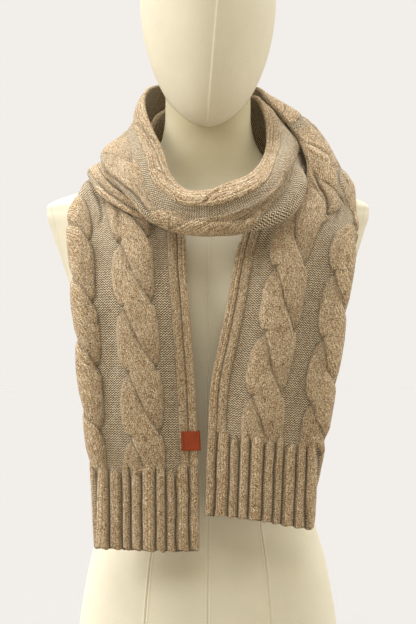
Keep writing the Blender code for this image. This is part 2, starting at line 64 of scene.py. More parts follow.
RIBBON = [Row(*row) for row in (
    # the left tail, from its hem up over the shoulder
    ((-10, -120, 180), (-131, -116, 180), 2, 5, 6, 0, 67),
    ((-11, -124, 280), (-136, -118, 280), 2, 7, 6, 0, 63),
    ((-13, -127, 327), (-141, -119, 327), 3, 8, 6, 0, 60),
    ((-16, -127, 386), (-149, -116, 386), 4, 9, 6, 0, 55),
    ((-20, -126, 436), (-152, -112, 436), 5, 8, 6, 0, 56),
    ((-22, -123, 466), (-156, -108, 466), 5, 7, 6, 0, 53),
    ((-25, -114, 503), (-158, -99, 503), 4, 7, 6, 0, 50),
    ((-26, -100, 536), (-161, -89, 536), 3, 6, 6, 0, 29),
    ((-30, -84, 562), (-163, -75, 561), 1, 3, 5, 0, 10),
    ((-40, -67, 588), (-160, -55, 584), 0, 1, 4, 0, -2),
    ((-53, -53, 615), (-155, -37, 599), -1, -1, 3, 0, -4),
    ((-67, -24, 638), (-150, -6, 604), -2, -4, 3, 0, -5),
    # behind the neck, the first time
    ((-68, 8, 653), (-138, 30, 606), -2, -4, 3, 0, -5),
    ((-60, 40, 688), (-106, 72, 612), 0, 2, 3, 0, -3),
    ((0, 62, 714), (0, 94, 622), 1, 4, 4, 0, 2),
    ((46, 46, 716), (80, 72, 632), 1, 6, 4, 0, 0),
    ((58, 16, 708), (113, 38, 623), 3, 7, 4, 0, -3),
    ((66, -8, 686), (126, 4, 619), 4, 6, 4, 0, -4),
    # the band, from the right shoulder across the front
    ((69, -36, 656), (117, -50, 614), 4, 10, 5, 0, 4),
    ((63, -78, 627), (117, -104, 598), 4, 11, 6, 0, 32),
    ((46, -106, 609), (94, -134, 564), 4, 11, 6, 0, 32),
    ((22, -120, 599), (46, -147, 546), 4, 10, 6, 0, 32),
    ((0, -124, 590), (0, -151, 543), 4, 9, 6, 0, 28),
    ((-25, -117, 590), (-38, -147, 549), 4, 9, 6, 0, 18),
    ((-43, -100, 607), (-66, -137, 562), 4, 9, 6, 0, 10),
    ((-54, -68, 641), (-91, -114, 586), 4, 8, 5, 0, 0),
    ((-67, -34, 672), (-111, -82, 605), 4, 2, 4, 0, -5),
    ((-74, 2, 697), (-128, -36, 628), 4, -10, 3, 0, -5),
    # behind the neck, the second time
    ((-72, 36, 718), (-126, 40, 640), 4, -12, 3, 0, -5),
    ((-60, 70, 730), (-98, 102, 636), 4, -2, 4, 0, 0),
    ((-30, 90, 735), (-54, 127, 620), 4, 10, 6, 0, 16),
    ((4, 95, 736), (4, 133, 614), 4, 10, 6, 0, 14),
    ((40, 86, 734), (64, 126, 622), 4, 10, 6, 0, 18),
    ((64, 60, 723), (110, 95, 636), 4, 7, 5, 0, 8),
    ((80, 30, 705), (142, 60, 630), 4, 5, 4, 0, 0),
    ((97, 4, 685), (163, 24, 616), 3, 3, 3, 15, -3),
    # the right tail, down from the shoulder to its hem
    ((113, -18, 660), (174, -8, 603), 0, 5, 3, 40, -4),
    ((115, -40, 643), (176.5, -34, 597), -2, 6, 3, 52, -4),
    ((117.8, -54, 612), (177, -56, 582), 0, 5, 3, 58, -4),
    ((114.5, -65, 588), (176, -66, 568), 2, 5, 4, 48, 0),
    ((80, -78, 569), (175, -78, 556), 2, 6, 5, 22, 16),
    ((46, -94, 551), (173, -88, 544), 2, 6, 6, 4, 32),
    ((34, -106, 526), (170, -95, 526), 3, 6, 6, 0, 40),
    ((28, -116, 498), (165, -102, 493), 4, 7, 6, 0, 46),
    ((23, -123, 468), (159, -108, 458), 5, 7, 6, 0, 51),
    ((14, -126, 424), (153, -112, 410), 5, 8, 6, 0, 48),
    ((4, -127, 376), (144, -116, 360), 4, 9, 6, 0, 47),
    ((0, -127, 320), (135, -119, 302), 3, 8, 6, 0, 52),
    ((-4, -122, 222), (121, -118, 204), 2, 5, 6, 0, 62),
)]

# Each piece of the scarf, from one row of the table to another, and the solids that it stands for
Stretch = namedtuple("Stretch", "name start end nodes")
STRETCHES = [Stretch(*row) for row in (
    ("left_tail_knit", 0, 11, ("left_hem_rib", "left_tail")),
    ("inner_wrap_knit", 11, 17, ("inner_wrap",)),
    ("front_band_knit", 17, 27, ("front_band",)),
    ("outer_wrap_knit", 27, 35, ("outer_wrap",)),
    ("right_tail_knit", 35, 48, ("right_tail", "right_hem_rib")),
)]

# The ribbed lower selvedge that shows below the band's fold
BAND_EDGE = [Row(*row) for row in (
    ((-44, -95, 566), (-66, -105, 553), 0, 1, 1.2, 174, -2),
    ((-76, -83, 590), (-103, -94, 570), 0, 1, 1.2, 169, -2),
    ((-92, -60, 610), (-131, -71, 589), 0, 1, 1.2, 160, -2),
    ((-106, -27, 632), (-147, -31, 614), 0, 0, 1.2, 158, -2),
    ((-113, 14, 634), (-148, 20, 618), 0, 0, 1.2, 164, -2),
)]

# The knitted cloth, in metres
WALL = 0.004
EDGE_RIB = 0.011
EDGE_CHANNEL = 0.016
CABLE = 0.049
MIDDLE_CHANNEL = 0.020
SCARF_WIDTH = 4 * EDGE_RIB + 2 * EDGE_CHANNEL + 2 * CABLE + MIDDLE_CHANNEL
FIRST_CABLE = 2 * EDGE_RIB + EDGE_CHANNEL
SECOND_CABLE = FIRST_CABLE + CABLE + MIDDLE_CHANNEL
CABLE_PITCH = 0.074
LEFT_CROSSING = 0.133  # the lowest crossing's place along the scarf, from its left hem
RIGHT_CROSSING = 0.145  # and from its right hem
# How far the viewer's left and right sides of a cable draw in at a crossing, and over what share of the
# pitch
LEFT_PINCH, RIGHT_PINCH = (0.0125, 0.13), (0.0070, 0.09)
STRAND_WALES = 8
STRAND_RISE, STRAND_SINK = 0.12, 0.62  # the upper and the lower strand at a crossing, of the cable's height
STRAND_TUCK = 0.012  # how far the lower strand reaches under the upper one at a crossing
STRAND_EDGE = 0.0048  # the strands' edges are rounded over this width
TIP = 0.055  # of the pitch, from a crossing to the tip of each lobe
RIB_EDGE, HEM_RIB_EDGE = 0.0034, 0.0042  # the ribs' edges are rounded over these widths
NARROW_SHADE, WIDE_SHADE = 0.0006, 0.0022  # how far the painted shade of a crease reaches up a strand and beside it
RIB_SIDE_SHADE, CABLE_SIDE_SHADE = 0.0014, 0.0018  # and how far painted shade reaches over the purl beside a rib and a cable
HEM_RIBS = 15
HEM_RIB = SCARF_WIDTH / HEM_RIBS
HEM_LENGTH = 0.098
HEM_GROOVE = 0.0022
HEM_RISE = 1.5  # the hem's ribs, of the other ribs' height
CREASE_SHADE = (0.0045, 0.85)  # painted shade in a trough: the depth at which it is as dark as in the strands' creases, and how dark it may be
SKIN = WALL + 0.0031  # from the plain inside to the outline at a fold
EDGE_FADE = 0.012  # the pattern sinks into the wall over this width at a section's end
SELVEDGE = 0.0024  # the wall's edges are rounded over this width
EDGE_FULL = 0.02 ** 0.5  # and a hem's end keeps this share of the wall
EDGE_ACROSS = 40  # points across the band's lower selvedge
NO_HEM = 10.0  # the length of a scarf whose hems are far away
# How high the cables and the ribs stand along the scarf, by the table's rows: they are flatter where it
# is wound
CABLE_SHARE = ((0, 1), (8, 1), (10, 0.5), (12, 0.35), (18, 0.22), (26, 0.26), (34, 0.26), (37, 0.3),
               (39, 0.55), (41, 1))
RIB_SHARE = ((0, 1), (9, 1), (12, 0.8), (18, 0.6), (34, 0.6), (38, 0.8), (41, 1))

# Where the band's cloth is drawn together or apart, by the table's rows: the places across it, in
# millimetres, of the pattern's landmarks
LANDMARKS = (0.0, 0.022, 0.038, 0.087, 0.107, 0.194)
BAND_PLACES = (
    (16.0, 0, 22, 38, 87, 107, 194),
    (17.9, 0, 18, 35, 42, 66, 160),
    (18.8, 0, 21, 35, 41, 66, 160),
    (19.3, 0, 26, 36, 48, 73, 165),
    (19.9, 0, 31, 41, 55, 75, 165),
    (20.6, 0, 33, 43, 64, 86, 176),
    (21.4, 0, 31, 41, 73, 93, 182),
    (22.2, 0, 29, 40, 84, 104, 190),
    (23.0, 0, 30, 39, 86, 106, 194),
    (23.7, 0, 31, 42, 88, 108, 194),
    (24.2, 0, 35, 47, 96, 116, 200),
    (24.6, 0, 38, 49, 98, 118, 204),
    (25.4, 0, 30, 42, 92, 112, 198),
    (27.0, 0, 22, 38, 87, 107, 194),
)
# The same where the cloth is drawn together over the right shoulder
SHOULDER_PLACES = (
    (33.0, 0, 22, 38, 87, 107, 194),
    (33.7, 0, 27, 31, 96, 99, 194),
    (37.6, 0, 27, 31, 96, 99, 194),
    (38.7, 0, 24, 35, 91, 103, 194),
    (40.0, 0, 22, 38, 87, 107, 194),
)
# Over the right shoulder the upper selvedge settles on the layer beneath, and the cloth beside it swells:
# both in millimetres, by the table's rows
SETTLE_ROWS = (32.8, 33.5, 34.0, 34.5, 35.0, 35.5, 36.0, 36.5, 37.0, 37.5, 38.0, 38.5, 39.4)
SETTLE_EDGE = (0.0, 6.0, 7.0, 8.0, 8.5, 8.5, 7.5, 6.0, 3.5, 1.5, 2.6, 2.6, 0.0)
SETTLE_SWELL = (0.0, 2.0, 4.0, 6.0, 7.0, 6.0, 4.0, 3.0, 1.0, -1.0, -2.0, -2.0, 0.0)
# Past this line the band's left end shows the ribs of its far selvedge, which is folded up behind it
FOLD_ROWS, FOLD_PLACES = (23.8, 24.14, 24.45, 24.92, 25.44, 26.0, 27.0), (61.5, 64, 68, 75, 82, 87, 92)
FAR_RIBS = SCARF_WIDTH - 2.3 * EDGE_RIB  # where the pattern goes on past the line

# Soft creases and ridges, each one's height in millimetres (less than 0 for a trough), half its breadth,
# and its path by the table's rows and by millimetres across
Crease = namedtuple("Crease", "height reach path")
CREASES = [Crease(*row) for row in (
    # the band, from its left end
    (-3.6, 1.9, ((26.6, 91), (26.0, 87), (25.44, 82), (24.92, 75), (24.45, 68), (24.14, 64), (23.8, 61))),
    (-2.4, 2.6, ((26.7, 20), (26.2, 15), (25.7, 11), (25.1, 5))),
    (1.6, 6.0, ((26.4, 40), (25.6, 38), (25.0, 50))),
    (-1.3, 1.0, ((25.8, 11), (25.1, 25), (24.4, 30), (23.9, 27), (23.3, 25), (22.7, 25), (22.2, 25))),
    (-1.0, 0.9, ((25.8, 15), (25.1, 29), (24.4, 34), (23.9, 31), (23.3, 29), (22.7, 29), (22.2, 29))),
    (-1.8, 1.5, ((24.9, 28), (24.6, 28), (24.2, 20), (23.76, 19), (23.3, 16), (23.0, 13))),
    (2.2, 6.0, ((23.0, 14), (22.2, 16), (21.5, 14), (20.9, 12))),
    (-2.6, 1.4, ((22.3, 28), (22.07, 25), (21.85, 20), (21.53, 15), (21.0, 8), (20.6, 6))),
    (-1.0, 0.9, ((21.9, 26), (21.3, 23), (20.7, 20), (20.0, 15), (19.3, 9), (18.7, 6), (17.8, 8))),
    (-1.0, 0.9, ((21.6, 29), (20.9, 27), (20.2, 26), (19.5, 20), (18.9, 15), (17.8, 13))),
    (-1.6, 3.4, ((23.6, 36), (22.8, 34), (22.0, 34), (21.2, 35), (20.6, 38), (20.0, 36))),
    (1.4, 2.4, ((22.4, 41), (21.4, 43), (20.65, 45), (19.9, 44), (19.3, 39), (18.8, 38), (17.7, 45))),
    (1.3, 2.2, ((20.6, 66), (20.05, 57), (19.62, 52), (19.2, 48), (18.6, 40), (17.8, 50))),
    (-1.5, 1.2, ((20.1, 48), (20.64, 53), (20.99, 59), (21.3, 61))),
    (-1.4, 1.1, ((20.0, 44), (20.4, 48), (20.9, 53), (21.4, 55))),
    (-1.0, 1.2, ((21.6, 46), (22.1, 52), (22.7, 54), (23.3, 52))),
    (-0.9, 1.4, ((24.6, 56), (24.1, 58), (23.5, 56), (22.9, 58))),
    (-1.8, 2.0, ((18.9, 62), (19.38, 69), (19.93, 70), (20.4, 76))),
    (-1.2, 1.6, ((17.2, 30), (17.9, 25), (18.6, 26))),
    # the outer wrap and the top of the right tail
    (-2.2, 2.0, ((32.4, 34), (32.8, 44), (33.1, 55), (33.4, 66), (33.7, 76))),
    (1.6, 3.0, ((32.6, 30), (33.1, 40), (33.4, 52), (33.8, 62))),
    (-1.6, 1.8, ((31.8, 20), (32.6, 22), (33.4, 27), (34.4, 32))),
    (-3.0, 1.8, ((35.3, 30), (35.8, 36), (36.15, 42), (36.38, 50), (36.5, 62), (36.6, 74), (36.5, 84))),
    (1.8, 2.6, ((36.5, 46), (36.75, 54), (36.9, 64), (37.0, 74), (36.9, 84))),
    (-2.4, 1.6, ((38.2, 72), (38.0, 81), (38.15, 87), (38.5, 95), (39.0, 100))),
    (-3.6, 2.2, ((37.7, 64), (37.95, 67), (38.55, 71), (39.15, 73), (39.8, 78), (40.8, 84))),
    (1.6, 6.0, ((37.6, 55), (38.4, 60), (39.4, 64), (40.4, 70))),
    (-1.6, 2.0, ((39.0, 84), (40.0, 92), (41.0, 104), (41.8, 112))),
    (-1.4, 1.6, ((36.9, 92), (37.6, 98), (38.4, 108))),
    # the left tail, from the shoulder down
    (-2.6, 2.2, ((9.8, 90), (9.0, 89), (8.2, 92), (7.3, 99))),
    (-1.8, 4.0, ((8.6, 72), (7.8, 74), (7.0, 76), (6.4, 72))),
    (-1.6, 5.0, ((7.8, 40), (7.0, 34), (6.2, 32), (5.2, 31))),
    (1.2, 9.0, ((6.8, 62), (5.8, 56), (4.8, 64), (4.0, 60))),
    (-1.4, 8.0, ((5.0, 92), (4.2, 96), (3.4, 92), (2.6, 98))),
    (-1.2, 9.0, ((3.8, 30), (3.0, 34), (2.2, 30), (1.4, 34))),
    # the right tail
    (-1.8, 5.0, ((41.2, 30), (41.8, 34), (42.6, 32), (43.4, 30))),
    (1.2, 9.0, ((41.6, 60), (42.6, 66), (43.6, 60), (44.6, 66))),
    (-1.4, 8.0, ((43.2, 98), (44.2, 94), (45.2, 100))),
    (-1.2, 9.0, ((44.8, 34), (45.8, 30), (46.6, 36))),
    # round the back
    (-2.0, 5.0, ((12.0, 20), (13.0, 34), (14.0, 52))),
    (1.8, 7.0, ((12.4, 44), (13.4, 56), (14.6, 62))),
    (-2.2, 4.0, ((14.6, 18), (15.4, 30), (16.2, 44))),
    (-2.6, 5.0, ((28.2, 30), (29.0, 48), (29.8, 62), (30.4, 86))),
    (2.2, 8.0, ((28.6, 60), (29.6, 76), (30.6, 100))),
    (-2.4, 4.0, ((29.6, 22), (30.6, 34), (31.6, 50), (32.2, 70))),
    (-2.0, 3.0, ((30.8, 80), (31.6, 92), (32.4, 98))),
    (1.8, 7.0, ((30.4, 58), (31.4, 74), (32.2, 84))),
    (-1.8, 3.0, ((32.8, 74), (33.6, 88), (34.6, 94))),
    (-1.6, 2.6, ((27.2, 40), (28.2, 54), (29.0, 76))),
)]

# Points across the face of a section, round its fold and across the layer behind
FACE_POINTS, FOLD_POINTS, BACK_POINTS = 160, 48, 90

# The dress form: sections of the torso and neck in millimetres, from its flat base up
Section = namedtuple("Section", "z half_width front back")
TORSO = [Section(*row) for row in (
    (0, 156, 102, 112),
    (40, 157, 104, 114),
    (80, 154, 103, 114),
    (120, 148, 101, 109),
    (160, 140, 97, 99),
    (205, 127, 91, 84),
    (255, 118, 87, 74),
    (310, 122, 89, 74),
    (370, 135, 94, 82),
    (430, 149, 100, 93),
    (482, 164, 99, 99),
    (520, 177, 93, 98),
    (550, 187, 83, 93),
    (572, 193, 74, 86),
    (584, 189, 68, 81),
    (591, 172, 64, 77),
    (599, 146, 60, 73),
    (608, 118, 57, 69),
    (618, 96, 54, 64),
    (630, 78, 52, 60),
    (642, 65, 51, 57),
    (656, 57, 50, 55),
    (676, 52, 50, 53),
    (700, 51, 50, 52),
    (745, 51, 50, 52),
)]
TORSO_POWER = 2.25  # of the sections' superellipse
BUST_X, BUST_Z, BUST_REACH, BUST_DEPTH = 0.070, 0.465, 0.048, 0.020
HEAD_Z, HEAD_HALF_WIDTH, HEAD_HALF_DEPTH = 0.828, 0.0816, 0.100
HEAD_RISE, HEAD_DROP, HEAD_POWER, CHIN_FORWARD = 0.092, 0.158, 1.85, 0.038
PLATE_X, PLATE_Z, PLATE_SLOPE = 0.1885, 0.585, 0.24  # the arm plates' inner plane
PLATE_BLOCK = (0.2, 0.4, 0.26)
PRINCESS_SEAM = 0.48  # of the half width, from the middle
# A torso seam's dent and the welt beside it: their rise, as a share of the torso's size, and their place
# and breadth, as angles from the seam
SEAM_LINES = ((-0.0095, 0.0, 0.0055), (0.0035, 0.013, 0.006))
SEAM_TOP = 0.605, 0.585  # the heights where the torso's seams end and where they are full
# The head's seam: how far it stands out, its breadth, and the X at which it crosses this height and its
# lean
HEAD_SEAM_HEIGHT, HEAD_SEAM_WIDTH = 0.0011, 0.0013
HEAD_SEAM_X, HEAD_SEAM_Z, HEAD_SEAM_LEAN = 0.0012, 0.690, 0.082
NECK_GAP, PLATE_GAP = 0.0003, 0.0001  # from the head to its socket, and from the plates to their plane
# Painted shade on the neck, standing in for the head's shadow: the neck's linen is darker and warmer
# than the rest: its share of each colour, and the heights where it starts and is full
NECK_SHADE, NECK_SHADE_FROM, NECK_SHADE_FULL = (0.78, 0.745, 0.63), 0.575, 0.615

# The leather tab, folded over the left tail's inner selvedge
TAB_WIDTH, TAB_HEIGHT, TAB_THICK = 0.0200, 0.0225, 0.0016
TAB_ALONG = 0.1265  # its middle, along the scarf from the left hem
TAB_LINE, TAB_LINE_WIDTH = 0.0030, 0.0005  # its pressed line, from the front leaf's end, and its breadth
TAB_RISE = 0.0024  # the knit's own height under it
TAB_CLEAR, TAB_BEND = 0.0004, 0.0011  # off the knit, and past its selvedge
TAB_SOFT = 0.0007  # its edges are rounded over this width

# Where each soft light comes from, in degrees: round from the front towards the viewer's right, and up;
# and how wide it looks
Light = namedtuple("Light", "name round up strength angle")
LIGHTS = (
    Light("overhead_light", -150, 70, 3.4, 50),
    Light("left_light", -80, 34, 2.4, 40),
    Light("right_rear_light", 104, 36, 1.75, 50),
    Light("front_light", -5, 62, 1.05, 40),
)
WORLD_SHARE = 0.30  # the strength of the light from all round
AMBIENT = (1.0, 0.82, 0.46)  # and its colour, which fills the shadows
FLOOR_BOUNCE = (0.84, 0.79, 0.68)  # how much of its light the floor passes on to the shadows
FLOOR_RADIUS = 12.0
CAMERA_PLACE = (0.0, -3.0, 0.4536)  # level, and in front of the form's middle
SENSOR_WIDTH, SENSOR_HEIGHT, FOCAL_LENGTH = 24.0, 36.0, 144.2  # in millimetres


def metres(name, description, default):
    """A length that a user can change, in metres."""
    return FloatProperty(name=name, description=description, default=default, unit="LENGTH", precision=4)


def screen_colour(name, description, *screen):
    """A colour that a user can change. Its default is given as a screen shows it, from 0 to 255."""
    shares = (channel / 255 for channel in screen)
    linear = [c / 12.92 if c <= 0.04 else ((c + 0.055) / 1.055) ** 2.4 for c in shares]
    return FloatVectorProperty(name=name, description=description, default=linear, subtype="COLOR",
                               min=0.0, max=1.0)


class ScarfKnit(bpy.types.PropertyGroup):
    """Sizes of the knitting."""

    wale: metres("Wale", "Width of one column of stitches", 0.0033)
    row: metres("Row", "Height of one row of stitches", 0.0028)
    cable_height: metres("Cable height", "How far a cable stands out of the cloth", 0.0066)
    rib_height: metres("Rib height", "How far a rib stands out of the cloth", 0.0032)
    across: IntProperty(name="Points across", description="Points across the cloth's face", default=150)
    step: metres("Step", "Distance between sections along the cloth", 0.0016)
    stitch_depth: metres("Stitch depth", "Relief of one stitch", 0.0011)


class ScarfColours(bpy.types.PropertyGroup):
    """Colours of the yarn, the linen and the leather."""

    dark: screen_colour("Dark fibre", "The darkest fibres of the heather", 104, 76, 47)
    middle: screen_colour("Middle fibre", "The main colour of the yarn", 184, 155, 117)
    light: screen_colour("Light fibre", "The lighter fibres", 213, 188, 152)
    cream: screen_colour("Cream fibre", "The palest fibres", 250, 236, 208)
    ochre: screen_colour("Ochre fibre", "The orange-brown fibres", 200, 146, 88)
    grey: screen_colour("Grey fibre", "The cool fibres", 164, 150, 124)
    linen: screen_colour("Linen", "The dress form's cloth", 238, 232, 211)
    leather: screen_colour("Leather", "The tab's leather", 160, 62, 15)
    backdrop: screen_colour("Backdrop", "The pale studio backdrop", 242, 238, 234)


# ---------------------------------------------------------------- shader nodes
# A Mix node's sockets for its factor, its two values and its result
MIX_SOCKETS = {"FLOAT": (0, 2, 3, 0), "RGBA": (0, 6, 7, 2)}


class Wiring:
    """Places nodes in one tree and links them."""

    def __init__(self, tree):
        self.tree = tree
        self.count = 0

    def node(self, kind, inputs=None, **settings):
        placed = self.tree.nodes.new(kind)
        placed.location = (220 * (self.count % 8), -260 * (self.count // 8))
        self.count += 1
        for name, value in settings.items():
            setattr(placed, name, value)
        for name, value in (inputs or {}).items():
            self.feed(value, placed.inputs[name])
        return placed

    def feed(self, value, socket):
        if isinstance(value, bpy.types.NodeSocket):
            self.tree.links.new(value, socket)
        else:
            socket.default_value = value

    def math(self, operation, *values):
        placed = self.node("ShaderNodeMath", operation=operation)
        for value, socket in zip(values, placed.inputs):
            self.feed(value, socket)
        return placed.outputs[0]

    def mix(self, factor, first, second, kind="FLOAT"):
        placed = self.node("ShaderNodeMix", data_type=kind)
        *sockets, result = MIX_SOCKETS[kind]
        for value, index in zip((factor, first, second), sockets):
            self.feed(value, placed.inputs[index])
        return placed.outputs[result]

    def blend(self, factor, first, second):
        return self.mix(factor, first, second, "RGBA")

    def part(self, vector, axis):
        return self.node("ShaderNodeSeparateXYZ", {"Vector": vector}).outputs[axis]

    def noise(self, place, scale, detail):
        inputs = {"Vector": place, "Scale": scale, "Detail": detail}
        return self.node("ShaderNodeTexNoise", inputs).outputs["Fac"]

    def range(self, value, low, high, top=1.0, **settings):
        """From 0 at the low value to the top at the high one."""
        inputs = {"Value": value, "From Min": low, "From Max": high, "To Max": top}
        return self.node("ShaderNodeMapRange", inputs, **settings).outputs[0]

    def zigzag(self, value):
        """Falls from 1 to 0 and rises back to 1 between one whole number and the next."""
        return self.math("ABSOLUTE", self.math("MULTIPLY_ADD", self.math("FRACT", value), 2.0, -1.0))

    def ramp(self, factor, stops):
        placed = self.node("ShaderNodeValToRGB", {"Fac": factor})
        elements = placed.color_ramp.elements
        while len(elements) < len(stops):
            elements.new(0.5)
        for element, (position, colour) in zip(elements, stops):
            element.position = position
            element.color = (*colour, 1.0)
        return placed.outputs["Color"]

    def shades(self, tone, base, dark, bright):
        """The base colour, from this share of it in the low tones to that in the high ones."""
        colours = ([min(1.0, channel * share) for channel in base] for share in (dark, bright))
        return self.ramp(tone, tuple(zip((0.25, 0.75), colours)))


class Finish(Wiring):
    """A new material's nodes, with its shader and the places on the piece that its patterns read."""

    def __init__(self, name):
        self.material = bpy.data.materials.new(name)
        self.material.use_nodes = True
        super().__init__(self.material.node_tree)
        self.shader = self.tree.nodes["Principled BSDF"]

    def spot(self):
        return self.node("ShaderNodeTexCoord").outputs["Object"]

    def attribute(self, name, output="Vector"):
        return self.node("ShaderNodeAttribute", attribute_name=name).outputs[output]

    def set(self, **values):
        """Feeds the shader's sockets, each named with _ for a space."""
        for name, value in values.items():
            self.feed(value, self.shader.inputs[name.replace("_", " ")])

    def bump(self, height, strength, distance):
        inputs = {"Strength": strength, "Distance": distance, "Height": height}
        self.set(Normal=self.node("ShaderNodeBump", inputs).outputs["Normal"])


def shader_group(name, inputs, outputs):
    """An empty node group with these sockets, as its wiring, its inputs by name and its output node."""
    group = bpy.data.node_groups.new(name, "ShaderNodeTree")
    for direction, sockets in (("INPUT", inputs), ("OUTPUT", outputs)):
        for label, kind in sockets.items():
            group.interface.new_socket(label, in_out=direction, socket_type=f"NodeSocket{kind}")
    wiring = Wiring(group)
    return group, wiring, wiring.node("NodeGroupInput").outputs, wiring.node("NodeGroupOutput").inputs


def stitch_group():
    """Knit and purl stitches from a place in wales and rows: their height, the painted shade in the gaps
    between them, and a random number for each leg."""
    group, w, given, out = shader_group(
        "Stitches", {"Stitch": "Vector"}, {"Height": "Float", "Shade": "Float", "Yarn": "Float"})
    parts = w.node("ShaderNodeSeparateXYZ", {"Vector": given["Stitch"]}).outputs
    wale, row, purl = parts["X"], parts["Y"], parts["Z"]
    # knit: two slanted legs in each wale
    side = w.zigzag(wale)
    knit_row = w.math("MULTIPLY_ADD", side, -1.4, row)
    leg = w.math("ABSOLUTE", w.math("MULTIPLY_ADD", side, 2.0, -1.0))
    across = w.math("SUBTRACT", 1.0, w.math("POWER", leg, 3.0))
    along = w.math("MULTIPLY_ADD", w.math("POWER", w.zigzag(knit_row), 3.0), -0.6, 1.0)
    knit_height = w.math("MULTIPLY", across, along)
    # purl: a wavy bar in each row
    wave = w.math("SINE", w.math("MULTIPLY", wale, 2 * math.pi))
    purl_row = w.math("MULTIPLY_ADD", wave, 0.30, row)
    purl_height = w.range(w.zigzag(purl_row), 0.72, 0.28, interpolation_type="SMOOTHSTEP")
    w.feed(w.mix(purl, knit_height, purl_height), out["Height"])
    # painted shade: each stitch's gaps are darker than its top
    knit_shade = w.math("MULTIPLY_ADD", knit_height, 0.60, 0.60)
    w.feed(w.mix(purl, knit_shade, w.math("MULTIPLY", purl_height, 1.38)), out["Shade"])
    cell = {"X": w.math("FLOOR", w.math("MULTIPLY", wale, 2.0)),
            "Y": w.math("FLOOR", w.mix(purl, knit_row, purl_row)),
            "Z": w.math("ROUND", purl)}
    place = w.node("ShaderNodeCombineXYZ", cell).outputs[0]
    random = w.node("ShaderNodeTexWhiteNoise", {"Vector": place}, noise_dimensions="3D")
    w.feed(random.outputs["Value"], out["Yarn"])
    return group


def heather_group(colours):
    """The yarn's mix of fibres: dark to cream by one noise, and grey or ochre by another."""
    group, w, given, out = shader_group(
        "Heather", {"Place": "Vector", "Yarn": "Float", "Purl": "Float"}, {"Color": "Color"})
    fine = w.noise(given["Place"], 880.0, 2.0)
    hue = w.noise(given["Place"], 540.0, 1.0)
    cloud = w.noise(given["Place"], 45.0, 3.0)
    contrast = w.mix(given["Purl"], 2.9, 1.1)
    fine = w.math("SUBTRACT", fine, 0.5)
    tone = w.math("MULTIPLY_ADD", fine, contrast, w.mix(given["Purl"], 0.32, 0.58))
    tone = w.math("MULTIPLY_ADD", given["Yarn"], 0.26, tone)
    tone = w.math("MULTIPLY_ADD", cloud, 0.25, tone)
    fibres = ((0.14, colours.dark), (0.42, colours.middle), (0.66, colours.light), (0.92, colours.cream))
    colour = w.ramp(tone, fibres)
    ochre, grey = w.range(hue, 0.52, 0.70, 0.44), w.range(hue, 0.46, 0.30, 0.55)
    calm = w.math("MULTIPLY_ADD", given["Purl"], -0.30, 1.0)
    colour = w.blend(w.math("MULTIPLY", ochre, calm), colour, (*colours.ochre, 1.0))
    w.feed(w.blend(w.math("MULTIPLY", grey, calm), colour, (*colours.grey, 1.0)), out["Color"])
    return group


def wool_material(name, colours, knit):
    """Heathered wool knit, with painted shade in the gaps between its stitches and along its creases and
    grooves.
    """
    w = Finish(name)
    place = w.attribute("knit")
    stitch = w.node("ShaderNodeGroup", node_tree=stitch_group())
    w.feed(place, stitch.inputs["Stitch"])
    spot = w.spot()
    yarn = w.node("ShaderNodeGroup", node_tree=heather_group(colours))
    for label, value in (("Place", spot), ("Yarn", stitch.outputs["Yarn"]), ("Purl", w.part(place, "Z"))):
        w.feed(value, yarn.inputs[label])
    # painted shade from the mesh's layer, along creases, grooves and the edges of ribs and cables
    painted_shade = w.math("MULTIPLY_ADD", w.part(w.attribute("painted_shade"), "X"), -0.80, 1.0)
    shade = w.math("MULTIPLY", stitch.outputs["Shade"], painted_shade)
    # the colour of the painted shade between the stitches
    gap = (*(0.30 * channel for channel in colours.dark), 1.0)
    w.set(Base_Color=w.blend(shade, gap, yarn.outputs["Color"]), Roughness=0.95, Specular_IOR_Level=0.12,
          Sheen_Weight=0.18, Sheen_Roughness=0.55)
    fibre = w.noise(spot, 1500.0, 1.0)
    w.bump(w.math("MULTIPLY_ADD", fibre, 0.35, stitch.outputs["Height"]), 0.8, knit.stitch_depth)
    return w.material


def linen_material(name, colours, neck):
    """Close-woven cream cloth stretched over a hard form, with a painted shadow on the neck if the piece
    has it.
    """
    w = Finish(name)
    spot = w.spot()
    cloud, grain = w.noise(spot, 22.0, 4.0), w.noise(spot, 900.0, 2.0)
    slub = w.node("ShaderNodeMapping", {"Vector": spot, "Scale": (300.0, 300.0, 1400.0)}).outputs["Vector"]
    weave = w.math("ADD", grain, w.noise(slub, 1.0, 2.0))
    tone = w.math("ADD", w.math("MULTIPLY", cloud, 0.5), w.math("MULTIPLY", weave, 0.25))
    colour = w.shades(tone, colours.linen, 0.90, 1.06)
    # painted shadow of the head: the neck is darkened and warmed between two heights
    if neck:
        shaded = w.shades(tone, [c * tint for c, tint in zip(colours.linen, NECK_SHADE)], 0.90, 1.06)
        colour = w.blend(w.range(w.part(spot, "Z"), NECK_SHADE_FROM, NECK_SHADE_FULL), colour, shaded)
    w.set(Base_Color=colour, Roughness=0.8, Specular_IOR_Level=0.25, Sheen_Weight=0.08)
    w.bump(weave, 0.35, 0.0005)
    return w.material


def leather_material(name, colours):
    """Smooth rust leather with a fine grain, darker where it is pressed and at its cut edges."""
    w = Finish(name)
    spot = w.spot()
    cells = w.node("ShaderNodeTexVoronoi", {"Vector": spot, "Scale": 1500.0}).outputs["Distance"]
    cloud = w.noise(spot, 160.0, 4.0)
    colour = w.shades(cloud, colours.leather, 0.78, 1.12)
    dull = (*(c * 0.30 for c in colours.leather), 1.0)
    w.set(Base_Color=w.blend(w.attribute("worn", "Fac"), colour, dull),
          Roughness=w.math("MULTIPLY_ADD", cloud, 0.2, 0.50))
    w.bump(cells, 0.4, 0.0003)
    return w.material


def finish_material(maker, name, *settings):
    """A material by name, made on its first use."""
    return bpy.data.materials.get(name) or maker(name, *settings)


